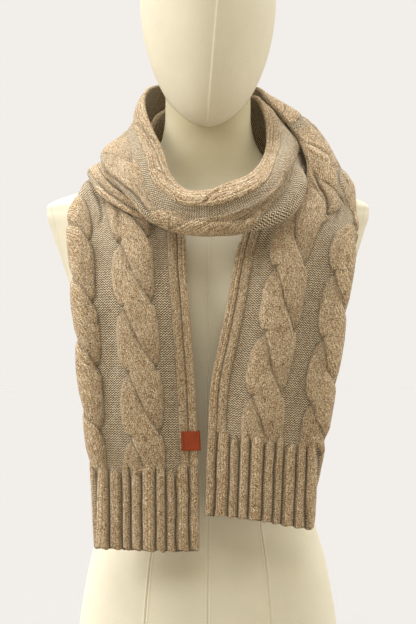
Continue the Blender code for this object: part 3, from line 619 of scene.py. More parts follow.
# ---------------------------------------------------------------- meshes
def unit(vectors):
    return vectors / np.maximum(np.linalg.norm(vectors, axis=-1, keepdims=True), 1e-12)


def smoothstep(low, high, value):
    t = np.clip((value - low) / (high - low), 0, 1)
    return t * t * (3 - 2 * t)


def quarter(distance, reach):
    """Rises from 0 as a quarter circle over this reach."""
    t = np.clip(distance / reach, 0, 1)
    return np.sqrt(1 - (1 - t) ** 2)


def lengths_along(points):
    """How far along its line each point is."""
    return np.concatenate([[0], np.cumsum(np.linalg.norm(np.diff(points, axis=0), axis=1))])


def smooth_curve(along, table, at):
    """A table's columns at these places along a smooth curve through its rows, and how fast they change."""
    slopes = np.gradient(table, along, axis=0)
    left = np.clip(np.searchsorted(along, at, side="right") - 1, 0, len(along) - 2)
    span = (along[left + 1] - along[left])[:, None]
    t = (at[:, None] - along[left][:, None]) / span
    start, end = table[left], table[left + 1]
    leaving, arriving = slopes[left] * span, slopes[left + 1] * span
    values = (2 * t**3 - 3 * t**2 + 1) * start + (3 * t**2 - 2 * t**3) * end
    values += (t**3 - 2 * t**2 + t) * leaving + (t**3 - t**2) * arriving
    rates = 6 * (t**2 - t) * (start - end)
    rates += (3 * t**2 - 4 * t + 1) * leaving + (3 * t**2 - 2 * t) * arriving
    return values, rates


def drawn_mesh(name, form):
    """A mesh of this bmesh, which is freed."""
    mesh = bpy.data.meshes.new(name)
    form.to_mesh(mesh)
    form.free()
    return mesh


def skin(name, points, layers=None, poles=False):
    """A closed mesh from a grid of points, whose first and last columns are the same line. The end rows are
    closed with a flat cap, or drawn to a pole."""
    rows, columns = points.shape[:2]
    sheet = bmesh.new()
    bmesh.ops.create_grid(sheet, x_segments=columns - 1, y_segments=rows - 1, size=0.5)
    mesh = drawn_mesh(name, sheet)
    flat = np.empty(len(mesh.vertices) * 3, dtype=np.float32)
    mesh.vertices.foreach_get("co", flat)
    flat = flat.reshape(-1, 3)
    column = np.rint((flat[:, 0] + 0.5) * (columns - 1)).astype(int)
    row = np.rint((flat[:, 1] + 0.5) * (rows - 1)).astype(int)
    mesh.vertices.foreach_set("co", points[row, column].astype(np.float32).ravel())
    for layer, values in (layers or {}).items():
        made = mesh.attributes.new(layer, "FLOAT_VECTOR", "POINT")
        made.data.foreach_set("vector", values[row, column].astype(np.float32).ravel())
    shell = bmesh.new()
    shell.from_mesh(mesh)
    shell.verts.ensure_lookup_table()
    rim = (column == 0) | (column == columns - 1)
    if poles:
        rim |= (row == 0) | (row == rows - 1)
    bmesh.ops.remove_doubles(shell, verts=[shell.verts[int(i)] for i in np.flatnonzero(rim)], dist=1e-6)
    open_edges = [edge for edge in shell.edges if edge.is_boundary]
    if open_edges:
        filled = bmesh.ops.holes_fill(shell, edges=open_edges, sides=0)
        bmesh.ops.triangulate(shell, faces=filled["faces"], ngon_method="EAR_CLIP")
    bmesh.ops.recalc_face_normals(shell, faces=shell.faces)
    shell.to_mesh(mesh)
    shell.free()
    return mesh


def add_object(name, data):
    """Puts an object with this data in the scene, at the origin."""
    item = bpy.data.objects.new(name, data)
    bpy.context.scene.collection.objects.link(item)
    return item


def add_piece(name, mesh, surface, nodes):
    """Puts a finished mesh in the scene, in place of these solids."""
    mesh.materials.append(surface)
    mesh.shade_smooth()
    mesh.set_sharp_from_angle(angle=SHARP_ANGLE)
    piece = add_object(name, mesh)
    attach(piece, BODY)
    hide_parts(*nodes)
    return piece


# ---------------------------------------------------------------- the knit's pattern
def rope_cable(width, length, start, crossing, whole, knit):
    """A two-strand rope cable with leaf-shaped lobes: its height, the wales that follow whichever strand is
    on top, and the painted shade along its crease and beside its edges."""
    turn = (length - crossing) / CABLE_PITCH
    u = (turn + 0.5) % 1 - 0.5
    x = width - (start + CABLE / 2)
    covered = 1 - 2 * np.abs(u)
    far_pinch, far_reach = (np.where(length < whole / 2, *pair) for pair in zip(LEFT_PINCH, RIGHT_PINCH))
    near_pinch, near_reach = (np.where(length < whole / 2, *pair) for pair in zip(RIGHT_PINCH, LEFT_PINCH))
    far = CABLE / 2 - far_pinch * np.exp(-np.abs((turn + TIP + 0.5) % 1 - 0.5) / far_reach)
    near = -CABLE / 2 + near_pinch * np.exp(-np.abs((turn - TIP + 0.5) % 1 - 0.5) / near_reach)
    # the crease runs from one edge to the other between two crossings
    along = np.clip((0.5 - np.abs(u)) / (0.5 - TIP), 0, 1)
    crease = np.where(u < 0, (CABLE / 2 - far_pinch) * along, (near_pinch - CABLE / 2) * along)
    middle = 1 - smoothstep(0.0, 0.7, along)
    edge = STRAND_EDGE * (1 + 0.9 * middle)
    overlap = 0.0002 + STRAND_TUCK * covered
    over_low = np.where(u < 0, near, np.maximum(crease - 0.0002, near))
    over_high = np.where(u < 0, np.minimum(crease + 0.0002, far), far)
    under_low = np.where(u < 0, crease - overlap, near)
    under_high = np.where(u < 0, far, crease + overlap)

    def strand(low, high, rise):
        """A strand's height between its edges, and the share of the way from one edge to the other."""
        round_top = quarter(x - low, edge) * quarter(high - x, edge)
        return round_top * knit.cable_height * rise, (x - low) / (high - low)

    over, over_share = strand(over_low, over_high, 1 + STRAND_RISE * covered)
    under, under_share = strand(under_low, under_high, 1 - STRAND_SINK * covered)
    on_top = over >= under
    share = np.where(on_top, over_share, under_share)
    # painted shade along the crease between the strands, and beside the cable
    fade = np.exp(-np.abs(x - crease) / np.where(on_top, NARROW_SHADE, WIDE_SHADE))
    crevice_shade = (0.25 + 0.35 * covered + 0.20 * middle) * fade
    outside = np.maximum(near - x, x - far)
    crevice_shade = np.where(outside > 0, 0.6 * np.exp(-outside / CABLE_SIDE_SHADE), crevice_shade)
    return np.maximum(over, under), STRAND_WALES * share, crevice_shade


def cable_pattern(width, length, crossing, whole, shares, knit):
    """The height of the cabled cloth past its wall, its wales, where it is purl and its painted shade. The
    shares are of the cables' and the ribs' full height. Each rib and cable counts its wales from a
    number of its own, so that no two share their stitches' random numbers."""
    shape = np.broadcast(width, length).shape
    height, crevice_shade, purl = np.zeros(shape), np.zeros(shape), np.ones(shape)
    wale = width / knit.wale + np.zeros(shape)
    for index, start in enumerate((0, EDGE_RIB, SCARF_WIDTH - 2 * EDGE_RIB, SCARF_WIDTH - EDGE_RIB)):
        across = (width - start) / EDGE_RIB + 0.030 * np.sin(math.pi * length / knit.row)
        columns = 2 if index in (0, 3) else 3
        column = np.abs(np.sin(columns * math.pi * across))
        rib = quarter(np.minimum(across, 1 - across) * EDGE_RIB, RIB_EDGE) * (0.66 + 0.34 * column)
        inside = (across > 0) & (across < 1)
        rib = np.where(inside, rib * knit.rib_height, 0) * shares[1]
        wale = np.where(inside, columns * across + 100 + 10 * index, wale)
        purl = np.where(inside, 0.0, purl)
        height = np.maximum(height, rib)
        # painted shade along each rib's edges, a little darker and lighter from row to row
        edge = np.abs(np.abs(across - 0.5) - 0.5) * EDGE_RIB
        rib_shade = 0.32 + 0.20 * np.sin(2 * math.pi * length / knit.row)
        fade = np.exp(-edge / np.where(inside, NARROW_SHADE, RIB_SIDE_SHADE))
        crevice_shade = np.maximum(crevice_shade, rib_shade * fade)
    for index, start in enumerate((FIRST_CABLE, SECOND_CABLE)):
        strand, follow, shaded = rope_cable(width, length, start, crossing, whole, knit)
        strand = strand * shares[0]
        inside = strand > height
        wale = np.where(inside, follow + 200 * (index + 1), wale)
        purl = np.where(inside, 0.0, purl)
        # painted shade at the cable's crease and edges, less where the cable is flatter
        crevice_shade = np.maximum(crevice_shade, shaded * (0.35 + 0.65 * shares[0]))
        height = np.maximum(height, strand)
    return height, wale, purl, crevice_shade


def hem_place(width):
    """The number of ribs to each place across the hem; some ribs are a little wider than others."""
    place = width / HEM_RIB
    return place + 0.09 * np.sin(2.1 * place) + 0.05 * np.sin(4.7 * place + 1)


def hem_pattern(width, knit):
    """The ribbed hem: a round rib in each pitch, with a narrow groove beside it that gets painted shade."""
    place = hem_place(width)
    across = place % 1 * 2 - 1
    to_groove = (1 - np.abs(across)) * HEM_RIB / 2 - HEM_GROOVE / 2
    rib = HEM_RISE * knit.rib_height * quarter(to_groove, HEM_RIB_EDGE)
    wale = 1.5 * across + 0.5 + 600 + 10 * np.floor(place)
    # painted shade in each groove
    crevice_shade = 0.70 * smoothstep(0.0013, -0.0003, to_groove)
    return rib, wale, np.where(to_groove > 0, 0.0, 1.0), crevice_shade


def rib_top(width):
    """Where each rib of the hem ends, uneven as its round top is."""
    place = hem_place(width)
    across = place % 1 * 2 - 1
    return HEM_LENGTH + 0.0045 * np.sin(2.4 * np.floor(place)) - 0.010 * np.abs(across) ** 2.2


def pattern(width, length, whole, shares, knit):
    """The whole scarf's relief, wales, purl mask and painted shade at these places across and along it."""
    crossing = np.where(length < whole / 2, LEFT_CROSSING, whole - RIGHT_CROSSING)
    height, wale, purl, crevice_shade = cable_pattern(width, length, crossing, whole, shares, knit)
    sway = 0.0002 * np.sin(length / 0.0095 + width / 0.011) + 0.0001 * np.sin(length / 0.0031)
    hem_height, hem_wale, hem_purl, hem_crevice = hem_pattern(width + sway, knit)
    from_hem = np.minimum(length, whole - length)
    height = height * (0.55 + 0.45 * smoothstep(0.0, 0.022, from_hem - HEM_LENGTH))
    hem = smoothstep(0.0025, -0.0025, from_hem - rib_top(width))
    wale, purl = np.where(hem > 0.5, hem_wale, wale), np.where(hem > 0.5, hem_purl, purl)
    # the hem's painted groove shade takes over from the cables' near the hems
    return height * (1 - hem) + hem_height * hem, wale, purl, crevice_shade * (1 - hem) + hem_crevice * hem


# ---------------------------------------------------------------- the ribbon
class Ribbon:
    """A smooth curve through a table of rows, read at any length along it."""

    def __init__(self, rows):
        self.table = np.array([(*row.inner, *row.outer, *row[2:]) for row in rows]) / 1000
        self.along = lengths_along((self.table[:, 0:3] + self.table[:, 3:6]) / 2)
        self.numbers = np.arange(len(self.along))

    def rows(self, at):
        """The table's rows at these lengths."""
        return np.interp(at, self.along, self.numbers)

    def lengths(self, rows):
        """The lengths at these rows of the table."""
        return np.interp(rows, self.numbers, self.along)

    def read(self, at):
        """The table's columns at these lengths, and the direction that the ribbon runs in there."""
        values, rates = smooth_curve(self.along, self.table, at)
        return values, unit(rates[:, 0:3] + rates[:, 3:6])


def section_paths(table, forward):
    """Each section's path in space: its face, the fold at its outer side and the layer behind."""
    inner, outer = table[:, 0:3], table[:, 3:6]
    bow, belly, roll = (table[:, 6 + column, None] for column in range(3))
    across = unit(outer - inner)
    out = unit(np.cross(forward, across))
    reach = np.linalg.norm(outer - inner, axis=1)[:, None] - roll - SKIN

    def bulge(t):
        return bow * 6.75 * t * (1 - t) ** 2 + belly * 16 * t**2 * (1 - t) ** 2

    face = np.linspace(0, 1, FACE_POINTS)[None, :]
    turn = np.linspace(0, math.pi, FOLD_POINTS)[None, 1:-1]
    back = np.linspace(1, 0, BACK_POINTS)[None, :]
    sideways = np.hstack([reach * face, reach + roll * np.sin(turn), reach * back])[..., None]
    outward = np.hstack([bulge(face), roll * (np.cos(turn) - 1), bulge(back) - 2 * roll])[..., None]
    return inner[:, None, :] + across[:, None, :] * sideways + out[:, None, :] * outward


def outward_of(grid):
    """The outward direction at each point of a grid on the cloth."""
    return unit(np.cross(np.gradient(grid, axis=0), np.gradient(grid, axis=1)))


def settle_over_shoulder(grid, rows, shares):
    """Moves the upper selvedge down on to the layer beneath it, and the cloth beside it outwards."""
    edge, swell = (np.interp(rows, SETTLE_ROWS, values)[:, None] / 1000
                   for values in (SETTLE_EDGE, SETTLE_SWELL))
    if edge.any():
        middle = smoothstep(0.0, 0.22, shares) * (1 - smoothstep(0.34, 0.62, shares))
        grid += outward_of(grid) * (swell * middle)[..., None]
        grid[:, :, 0] -= edge * (1 - smoothstep(0, 0.16, shares))


def ribbon_grid(ribbon, at, shares):
    """Points of the wall's plain inside at these shares of each section's cloth, with their outward
    directions, their places across the pattern and the cloth's width there."""
    table, forward = ribbon.read(at)
    grid = np.empty((len(at), len(shares), 3))
    widths = np.empty((len(at), len(shares)))
    cloths = np.empty(len(at))
    for index, path in enumerate(section_paths(table, forward)):
        lengths = lengths_along(path)
        fold_end = lengths[FACE_POINTS + FOLD_POINTS - 2]
        first, behind = table[index, 9:11]
        cloths[index] = min(fold_end + behind, lengths[-1])
        places = shares * cloths[index]
        widths[index] = first + places
        for axis in range(3):
            grid[index, :, axis] = np.interp(places, lengths, path[:, axis])
    settle_over_shoulder(grid, ribbon.rows(at), shares)
    normals = outward_of(grid)
    # both ends are cut square to the ribbon
    level = forward[[0, -1], None, :]
    flat = normals[[0, -1]] - level * np.sum(normals[[0, -1]] * level, axis=-1, keepdims=True)
    normals[[0, -1]] = unit(flat)
    return grid, normals, widths, cloths


def pattern_places(rows, widths):
    """Where in the pattern each place across the cloth is, for the table's rows."""
    placed = widths.copy()
    for table in (np.array(BAND_PLACES), np.array(SHOULDER_PLACES)):
        for index in np.flatnonzero((rows > table[0, 0]) & (rows < table[-1, 0])):
            landmarks = [np.interp(rows[index], table[:, 0], column) / 1000 for column in table[:, 1:].T]
            placed[index] = np.interp(widths[index], landmarks, LANDMARKS)
    for index in np.flatnonzero((rows > FOLD_ROWS[0]) & (rows < FOLD_ROWS[-1])):
        past = widths[index] - np.interp(rows[index], FOLD_ROWS, FOLD_PLACES) / 1000
        placed[index] = np.where(past > 0, FAR_RIBS + past, placed[index])
    return placed


def crease_heights(ribbon, at, widths):
    """How far the creases raise or lower each place."""
    heights = np.zeros(widths.shape)
    for crease in CREASES:
        rows, places = np.array(crease.path).T
        steps = np.linspace(0, len(rows) - 1, 12 * len(rows))
        rows, places = (np.interp(steps, np.arange(len(rows)), part) for part in (rows, places))
        path = np.stack([ribbon.lengths(rows), places / 1000], axis=-1)
        reach = crease.reach / 1000
        near = (at > path[:, 0].min() - 3 * reach) & (at < path[:, 0].max() + 3 * reach)
        if not near.any():
            continue
        apart = np.stack([at[near, None] + 0 * widths[near], widths[near]], axis=-1)[:, :, None, :] - path
        apart = np.linalg.norm(apart, axis=-1)
        share = apart.argmin(axis=-1) / (len(path) - 1)
        fade = smoothstep(0.0, 0.25, share) * smoothstep(1.0, 0.75, share)
        heights[near] += crease.height / 1000 * fade * np.exp(-(apart.min(axis=-1) / reach) ** 2)
    return heights


def cloth_shares(points):
    """Shares across the cloth, closer together at both selvedges."""
    *near, first = np.array([0.0, 0.0005, 0.0012, 0.0020]) / SCARF_WIDTH
    return np.concatenate([near, np.linspace(first, 1 - first, points), 1 - np.array(near)[::-1]])


def wave_hem(grid, at, widths, hem):
    """Moves the cloth's end a little in and out along its edge."""
    end, inside = (0, 6) if hem == at[0] else (-1, -7)
    reach = smoothstep(0.020, 0.0, np.abs(at - hem))[:, None, None]
    wave = 0.0016 * np.sin(2 * math.pi * hem_place(widths)) + 0.0012 * np.sin(widths / 0.021 + hem)
    return grid + unit(grid[[end]] - grid[[inside]]) * wave[..., None] * reach


def edge_rounding(at, widths, hems):
    """How full the wall is, from its edges inwards."""
    rounding = quarter(np.minimum(widths - widths[:, :1], widths[:, -1:] - widths), SELVEDGE)
    for hem in hems:
        rounding = np.minimum(rounding, np.maximum(quarter(np.abs(at - hem), SELVEDGE), EDGE_FULL)[:, None])
    return rounding


def close_wall(name, outer, inner, wales, back, crevice_shade):
    """A closed mesh of the patterned outside and, with a third of its points, the purl inside."""
    columns = outer.shape[1]
    thin = np.array(sorted(set(range(2, columns - 2, 3)) | {1, columns - 2}))
    half = len(thin) // 2
    # painted shade goes on the outside only; the purl inside gets none
    painted_shade = crevice_shade[..., None] * np.array([1.0, 0.0, 0.0])
    order = ((inner, back, 0 * painted_shade, thin[half::-1]), (outer, wales, painted_shade, np.arange(columns)),
             (inner, back, 0 * painted_shade, thin[:half - 1:-1]))
    points, knit, painted_shade = (np.concatenate([side[part][:, side[3]] for side in order], axis=1)
                            for part in range(3))
    return skin(name, points, {"knit": knit, "painted_shade": painted_shade})


def stretch_mesh(name, ribbon, ends, whole, knit, across, hems):
    """One stretch of the scarf as a closed wall: the patterned outside and the purl inside, round at both
    selvedges and at a hem. Also gives its widest width, length and flat area."""
    start, end = ends
    at = np.linspace(start, end, max(4, round((end - start) / knit.step)) + 1)
    for hem in hems:
        at = np.union1d(at, hem + np.array([0.0004, 0.001, 0.002]) * (1 if hem == start else -1))
    shares = cloth_shares(across)
    grid, normals, widths, cloths = ribbon_grid(ribbon, at, shares)
    for hem in hems:
        grid = wave_hem(grid, at, widths, hem)
    rows = ribbon.rows(at)
    heights = [np.interp(rows, *zip(*table))[:, None] for table in (CABLE_SHARE, RIB_SHARE)]
    length = at[:, None] + 0 * widths
    relief, wale, purl, crevice_shade = pattern(pattern_places(rows, widths), length, whole, heights, knit)
    creases = crease_heights(ribbon, at, widths)
    full, darkest = CREASE_SHADE
    # painted shade in the troughs of the creases, darker the lower they sink
    crevice_shade = np.maximum(crevice_shade, np.clip(-creases / full, 0, darkest))
    fade = np.clip((widths[:, -1:] - widths) / EDGE_FADE, 0, 1)
    depth = np.maximum(WALL + relief * fade + creases, WALL * 0.4)
    rounding = edge_rounding(at, widths, hems)
    outer = grid + normals * (depth * (0.5 + 0.5 * rounding))[..., None]
    inner = grid + normals * np.minimum(WALL / 2, depth * (0.5 - 0.5 * rounding))[..., None]
    inner[:, [0, -1]] = outer[:, [0, -1]]
    run = start + lengths_along(grid[:, round(0.8 * len(shares))])
    stitch_rows = np.maximum(run, at)[:, None] / knit.row + 0 * widths
    wales = np.stack([wale, stitch_rows, purl], axis=-1)
    back = np.stack([widths / knit.wale, stitch_rows, np.ones(widths.shape)], axis=-1)
    area = float(np.sum((cloths[1:] + cloths[:-1]) / 2 * np.diff(at)))
    sizes = float(cloths.max()), float(end - start), area
    return close_wall(name, outer, inner, wales, back, crevice_shade), sizes


def add_knitting(context, name, ribbon, ends, nodes, whole, across, hems=()):
    """Puts one stretch of knitting in the scene."""
    knit = context.scene.scarf_knit
    wool = finish_material(wool_material, "heather_wool_knit", context.scene.scarf_colours, knit)
    mesh, (width, length, area) = stretch_mesh(name, ribbon, ends, whole, knit, across, hems)
    piece = add_piece(name, mesh, wool, nodes)
    area = min(area, width * length)


# ---------------------------------------------------------------- the leather tab
def tab_section(face, normal, edge, grow):
    """One open line round the selvedge, from the back leaf's end to the front leaf's, further off by the
    grow."""
    over = WALL + TAB_RISE + TAB_CLEAR + grow
    under = TAB_CLEAR + grow
    middle = face[0] + normal[0] * (over - under) / 2
    turns = np.linspace(-math.pi / 2, math.pi / 2, 15)[1:-1, None]
    out, up = edge * (TAB_BEND + grow), normal[0] * (over + under) / 2
    bend = middle + out * np.cos(turns) + up * np.sin(turns)
    return [*(face - normal * under)[::-1], *bend, *(face + normal * over)]


def tab_mesh():
    """The folded tab as a closed loop of leather with rounded edges and a pressed line near its end."""
    rows, leaf = 31, 30
    across = TAB_HEIGHT / 2 * np.sin(np.linspace(-math.pi / 2, math.pi / 2, rows))
    shares = TAB_WIDTH * np.sin(np.linspace(0, math.pi / 2, leaf)) / SCARF_WIDTH
    grid, normals, _, _ = ribbon_grid(Ribbon(RIBBON), TAB_ALONG + across, shares)
    normals = unit(normals.mean(axis=(0, 1)))[None, None, :] * np.ones(normals.shape)
    edges = unit(grid[:, 0] - grid[:, 1])
    near, far = (np.array([tab_section(*row, grow) for row in zip(grid, normals, edges)])
                 for grow in (0.0, TAB_THICK))
    run = lengths_along(far[rows // 2])
    to_side = (TAB_HEIGHT / 2 - np.abs(across))[:, None]
    to_tip = np.minimum(run, run[-1] - run)[None, :]
    soft = np.clip(np.minimum(to_side, to_tip) / TAB_SOFT, 0, 1)
    line = np.exp(-((run[-1] - run - TAB_LINE) / TAB_LINE_WIDTH) ** 2)[None, :]
    share = 0.5 + 0.5 * np.sqrt(np.maximum(1 - (1 - soft) ** 2, 0.03))
    outer = near + (far - near) * (share - 0.30 * line)[..., None]
    inner = near + (far - near) * (1 - share)[..., None]
    worn = np.maximum(0.60 * line, 0.55 * (1 - soft) ** 2)[..., None] * np.ones(3)
    loop, worn = (np.concatenate([front, back[:, ::-1], front[:, :1]], axis=1)
                  for front, back in ((outer, inner), (worn, worn)))
    return skin("leather_tab_folded", loop, {"worn": worn})


# ---------------------------------------------------------------- the dress form
def round_angles(count, seams, reach, step):
    """Angles once round, with closer ones at the seams."""
    even = np.linspace(0, 2 * math.pi, count + 1)
    close = [seam + offset for seam in seams for offset in np.arange(-reach, reach + step / 2, step)]
    keep = [angle for angle in even if all(abs(angle - seam) > reach + step / 2 for seam in seams)]
    return np.array(sorted(keep + close))


def superellipse(angle, power):
    cosine, sine = np.cos(angle), np.sin(angle)
    scale = (np.abs(cosine) ** power + np.abs(sine) ** power) ** (-1 / power)
    return cosine * scale, sine * scale


def seam_angles():
    """The front's three seams, as angles round the torso: the middle and the two princess seams."""
    turns = np.linspace(0, math.pi / 2, 2000)
    x, _ = superellipse(turns, TORSO_POWER)
    turn = turns[np.argmin(np.abs(x - PRINCESS_SEAM))]
    return 1.5 * math.pi, 2 * math.pi - turn, math.pi + turn


def torso_mesh():
    """The torso and neck, smooth through the sections, with a sewn line at each seam."""
    seams = seam_angles()
    angles = round_angles(count=144, seams=seams, reach=0.028, step=0.004)
    table = np.array(TORSO) / 1000
    even, shoulders = np.linspace(0, table[-1, 0], 190), np.linspace(0.56, 0.66, 60)
    heights = np.union1d(even, shoulders)
    values, _ = smooth_curve(table[:, 0], table[:, 1:], heights)
    x, y = superellipse(angles[None, :], TORSO_POWER)
    seam = np.minimum.reduce([np.abs(angles - place) for place in seams])[None, :]
    width, front, back = (values[:, index, None] for index in range(3))
    line = sum(rise * np.exp(-((seam - place) / breadth) ** 2) for rise, place, breadth in SEAM_LINES)
    line = 1 + line * smoothstep(*SEAM_TOP, heights)[:, None]
    x = x * width * line
    y = np.where(y < 0, y * front, y * back) * line
    away = ((np.abs(x) - BUST_X) ** 2 + (heights[:, None] - BUST_Z) ** 2) / BUST_REACH**2
    y = np.where(y < 0, y - BUST_DEPTH * np.exp(-away), y)
    return skin("torso_linen", np.stack([x, y, heights[:, None] + 0 * x], axis=-1))


def egg_mesh(name, grow, seam_height):
    """The egg head, larger all round by the grow, with a raised seam down its front."""
    angles = round_angles(count=120, seams=(1.5 * math.pi,), reach=0.17, step=0.0085)
    polar = np.linspace(0, math.pi, 130)[:, None]
    z, level = -np.cos(polar), np.sin(polar)
    low = np.maximum(1 - np.abs(z) ** HEAD_POWER, 0) ** (1 / HEAD_POWER)
    level = np.where(z < 0, low, level)
    level[[0, -1]] = 0
    rise = np.where(z > 0, HEAD_RISE, HEAD_DROP)
    x = np.cos(angles)[None, :] * level * (HEAD_HALF_WIDTH + grow)
    y = np.sin(angles)[None, :] * level * (HEAD_HALF_DEPTH + grow)
    height = HEAD_Z + z * (rise + grow)
    lean = HEAD_SEAM_X + HEAD_SEAM_LEAN * (height - HEAD_SEAM_Z)
    ridge = seam_height * np.exp(-(((x - lean) / HEAD_SEAM_WIDTH) ** 2)) * (y < 0)
    y = y - ridge * smoothstep(0.02, 0.25, level) - CHIN_FORWARD * np.minimum(z, 0.0) ** 2
    return skin(name, np.stack([x, y, height + 0 * x], axis=-1), poles=True)


def block_mesh(name, side, inset):
    """A block beyond one arm plate's plane, moved out by the inset."""
    block = bmesh.new()
    bmesh.ops.create_cube(block, size=1.0)
    bmesh.ops.scale(block, vec=Vector(PLATE_BLOCK), verts=block.verts)
    tilt = math.atan(PLATE_SLOPE)
    out = PLATE_BLOCK[0] / 2 + inset
    turn = Matrix.Rotation(side * tilt, 3, "Y")
    bmesh.ops.rotate(block, cent=Vector(), matrix=turn, verts=block.verts)
    place = Vector((side * (PLATE_X + out * math.cos(tilt)), 0, PLATE_Z - out * math.sin(tilt)))
    bmesh.ops.translate(block, vec=place, verts=block.verts)
    return drawn_mesh(name, block)


def cut_mesh(name, mesh, operation, cutter_meshes):
    """The mesh after this Boolean operation with each cutter's mesh."""
    blank = add_object(name, mesh)
    cutters = [add_object(cutter.name, cutter) for cutter in cutter_meshes]
    for cutter in cutters:
        modifier = blank.modifiers.new(cutter.name, "BOOLEAN")
        modifier.operation = operation
        modifier.object = cutter
    bpy.context.view_layer.update()
    depsgraph = bpy.context.evaluated_depsgraph_get()
    result = bpy.data.meshes.new_from_object(blank.evaluated_get(depsgraph))
    result.name = name
    for item in (blank, *cutters):
        bpy.data.objects.remove(item, do_unlink=True)
    return result


# ---------------------------------------------------------------- the stage
def floor_colour(backdrop):
    """The colour at which the lit floor looks the same as the backdrop."""
    lit = sum(light.strength * math.sin(math.radians(light.up)) / math.pi for light in LIGHTS)
    return [seen / (share * WORLD_SHARE + lit) for seen, share in zip(backdrop, AMBIENT)]


def add_floor(backdrop):
    """A plain matt floor that passes on less light than it shows."""
    floor = bmesh.new()
    bmesh.ops.create_circle(floor, cap_ends=True, segments=96, radius=FLOOR_RADIUS)
    mesh = drawn_mesh("studio_floor", floor)
    w = Finish("pale_floor")
    seen = floor_colour(backdrop)
    cast = (*(channel * share for channel, share in zip(seen, FLOOR_BOUNCE)), 1.0)
    direct = w.node("ShaderNodeLightPath").outputs["Is Camera Ray"]
    w.set(Base_Color=w.blend(direct, cast, (*seen, 1.0)), Roughness=1.0, Specular_IOR_Level=0.0)
    mesh.materials.append(w.material)
    add_object("studio_floor", mesh)


def add_sun(light):
    """A soft distant light."""
    lamp = bpy.data.lights.new(light.name, "SUN")
    lamp.energy = light.strength
    lamp.angle = math.radians(light.angle)
    turn, up = math.radians(light.round), math.radians(light.up)
    direction = Vector((math.sin(turn) * math.cos(up), -math.cos(turn) * math.cos(up), math.sin(up)))
    add_object(light.name, lamp).rotation_euler = direction.to_track_quat("Z", "Y").to_euler()


def light_world(scene, backdrop):
    """The backdrop's colour all round as it is seen, and a dimmer, warmer light."""
    world = bpy.data.worlds.new("studio")
    world.use_nodes = True
    scene.world = world
    w = Wiring(world.node_tree)
    seen = w.node("ShaderNodeLightPath").outputs["Is Camera Ray"]
    ambient = (*(share * WORLD_SHARE for share in AMBIENT), 1.0)
    w.feed(w.blend(seen, ambient, (*backdrop, 1.0)), world.node_tree.nodes["Background"].inputs["Color"])


def add_camera():
    """A level camera in front of the form, as the scene's own."""
    lens = bpy.data.cameras.new("front_view")
    lens.sensor_fit = "VERTICAL"
    lens.sensor_height, lens.sensor_width, lens.lens = SENSOR_HEIGHT, SENSOR_WIDTH, FOCAL_LENGTH
    camera = add_object("front_view", lens)
    camera.location = CAMERA_PLACE
    camera.rotation_euler = (math.pi / 2, 0.0, 0.0)
    bpy.context.scene.camera = camera


# ---------------------------------------------------------------- operators
class SCARF_OT_dress_form(bpy.types.Operator):
    """Build the dress form: torso, egg head and arm plates"""

    bl_idname = "scarf.dress_form"
    bl_label = "Dress form"

    def execute(self, context):
        colours = context.scene.scarf_colours
        linen = finish_material(linen_material, "cream_linen_cover", colours, False)
        # the torso's linen carries the painted shadow on its neck
        torso_linen = finish_material(linen_material, "cream_linen_neck_shade", colours, True)
        head = egg_mesh("head_linen", 0.0, HEAD_SEAM_HEIGHT)
        add_piece("head_linen", head, linen, ("form_head",))
        cutters = [block_mesh("arm_trim", side, 0.0) for side in (-1, 1)]
        cutters.insert(0, egg_mesh("neck_socket", NECK_GAP, 0.0))
        torso = cut_mesh("torso_linen", torso_mesh(), "DIFFERENCE", cutters)
        add_piece("torso_linen", torso, torso_linen, ("form_torso",))
        for side, name in ((-1, "left"), (1, "right")):
            piece, outside = f"plate_{name}_linen", block_mesh("arm_outside", side, PLATE_GAP)
            plate = cut_mesh(piece, torso_mesh(), "INTERSECT", [outside])
            add_piece(piece, plate, linen, (f"arm_plate_{name}",))
        return {"FINISHED"}


class SCARF_OT_ribbon(bpy.types.Operator):
    """Build every stretch of the cable-knit scarf"""

    bl_idname = "scarf.ribbon"
    bl_label = "Cable-knit scarf"

    def execute(self, context):
        ribbon = Ribbon(RIBBON)
        whole = ribbon.along[-1]
        for name, start, end, nodes in STRETCHES:
            ends = ribbon.along[start], ribbon.along[end]
            hems = [hem for hem in (0.0, whole) if hem in ends]
            across = context.scene.scarf_knit.across
            add_knitting(context, name, ribbon, ends, nodes, whole, across, hems)
        return {"FINISHED"}


class SCARF_OT_band_edge(bpy.types.Operator):
    """Build the ribbed selvedge that shows below the band's fold"""

    bl_idname = "scarf.band_edge"
    bl_label = "Band's lower selvedge"

    def execute(self, context):
        edge = Ribbon(BAND_EDGE)
        ends = edge.along[0] + 0.0002, edge.along[-1]
        nodes, rests_on = ("band_edge",), "left_tail_knit"
        add_knitting(context, "band_edge_knit", edge, ends, nodes, NO_HEM, EDGE_ACROSS)
        return {"FINISHED"}


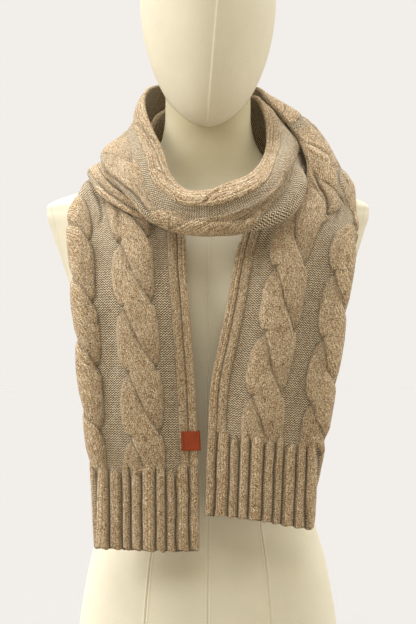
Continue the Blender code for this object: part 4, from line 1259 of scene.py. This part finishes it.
class SCARF_OT_leather_tab(bpy.types.Operator):
    """Build the bare leather tab folded over the left tail's edge"""

    bl_idname = "scarf.leather_tab"
    bl_label = "Leather tab"

    def execute(self, context):
        leather = finish_material(leather_material, "rust_leather_grain", context.scene.scarf_colours)
        add_piece("leather_tab_folded", tab_mesh(), leather, ("leather_tab",))
        return {"FINISHED"}


class SCARF_OT_stage(bpy.types.Operator):
    """Build the pale floor, the soft light and the camera"""

    bl_idname = "scarf.stage"
    bl_label = "Stage, light and camera"

    def execute(self, context):
        scene = context.scene
        add_floor(scene.scarf_colours.backdrop)
        for light in LIGHTS:
            add_sun(light)
        light_world(scene, scene.scarf_colours.backdrop)
        add_camera()
        scene.view_settings.view_transform = "Standard"
        return {"FINISHED"}


class SCARF_PT_panel(bpy.types.Panel):
    """Lists the pieces in the order in which they are built"""

    bl_label = "Knit scarf"
    bl_idname = "SCARF_PT_panel"
    bl_space_type = "VIEW_3D"
    bl_region_type = "UI"
    bl_category = "Scarf"

    def draw(self, context):
        for group in (context.scene.scarf_knit, context.scene.scarf_colours):
            box = self.layout.box()
            for name in group.__annotations__:
                box.prop(group, name)
        for operator in OPERATORS:
            self.layout.operator(operator.bl_idname)


OPERATORS = (SCARF_OT_dress_form, SCARF_OT_ribbon, SCARF_OT_band_edge, SCARF_OT_leather_tab, SCARF_OT_stage)
CLASSES = (ScarfKnit, ScarfColours, *OPERATORS, SCARF_PT_panel)


def register():
    for item in CLASSES:
        bpy.utils.register_class(item)
    bpy.types.Scene.scarf_knit = PointerProperty(type=ScarfKnit)
    bpy.types.Scene.scarf_colours = PointerProperty(type=ScarfColours)


def unregister():
    del bpy.types.Scene.scarf_colours
    del bpy.types.Scene.scarf_knit
    for item in reversed(CLASSES):
        bpy.utils.unregister_class(item)


def main():
    register()
    bpy.ops.scarf.dress_form()
    bpy.ops.scarf.ribbon()
    bpy.ops.scarf.band_edge()
    bpy.ops.scarf.leather_tab()
    bpy.ops.scarf.stage()


if __name__ == "__main__":
    main()
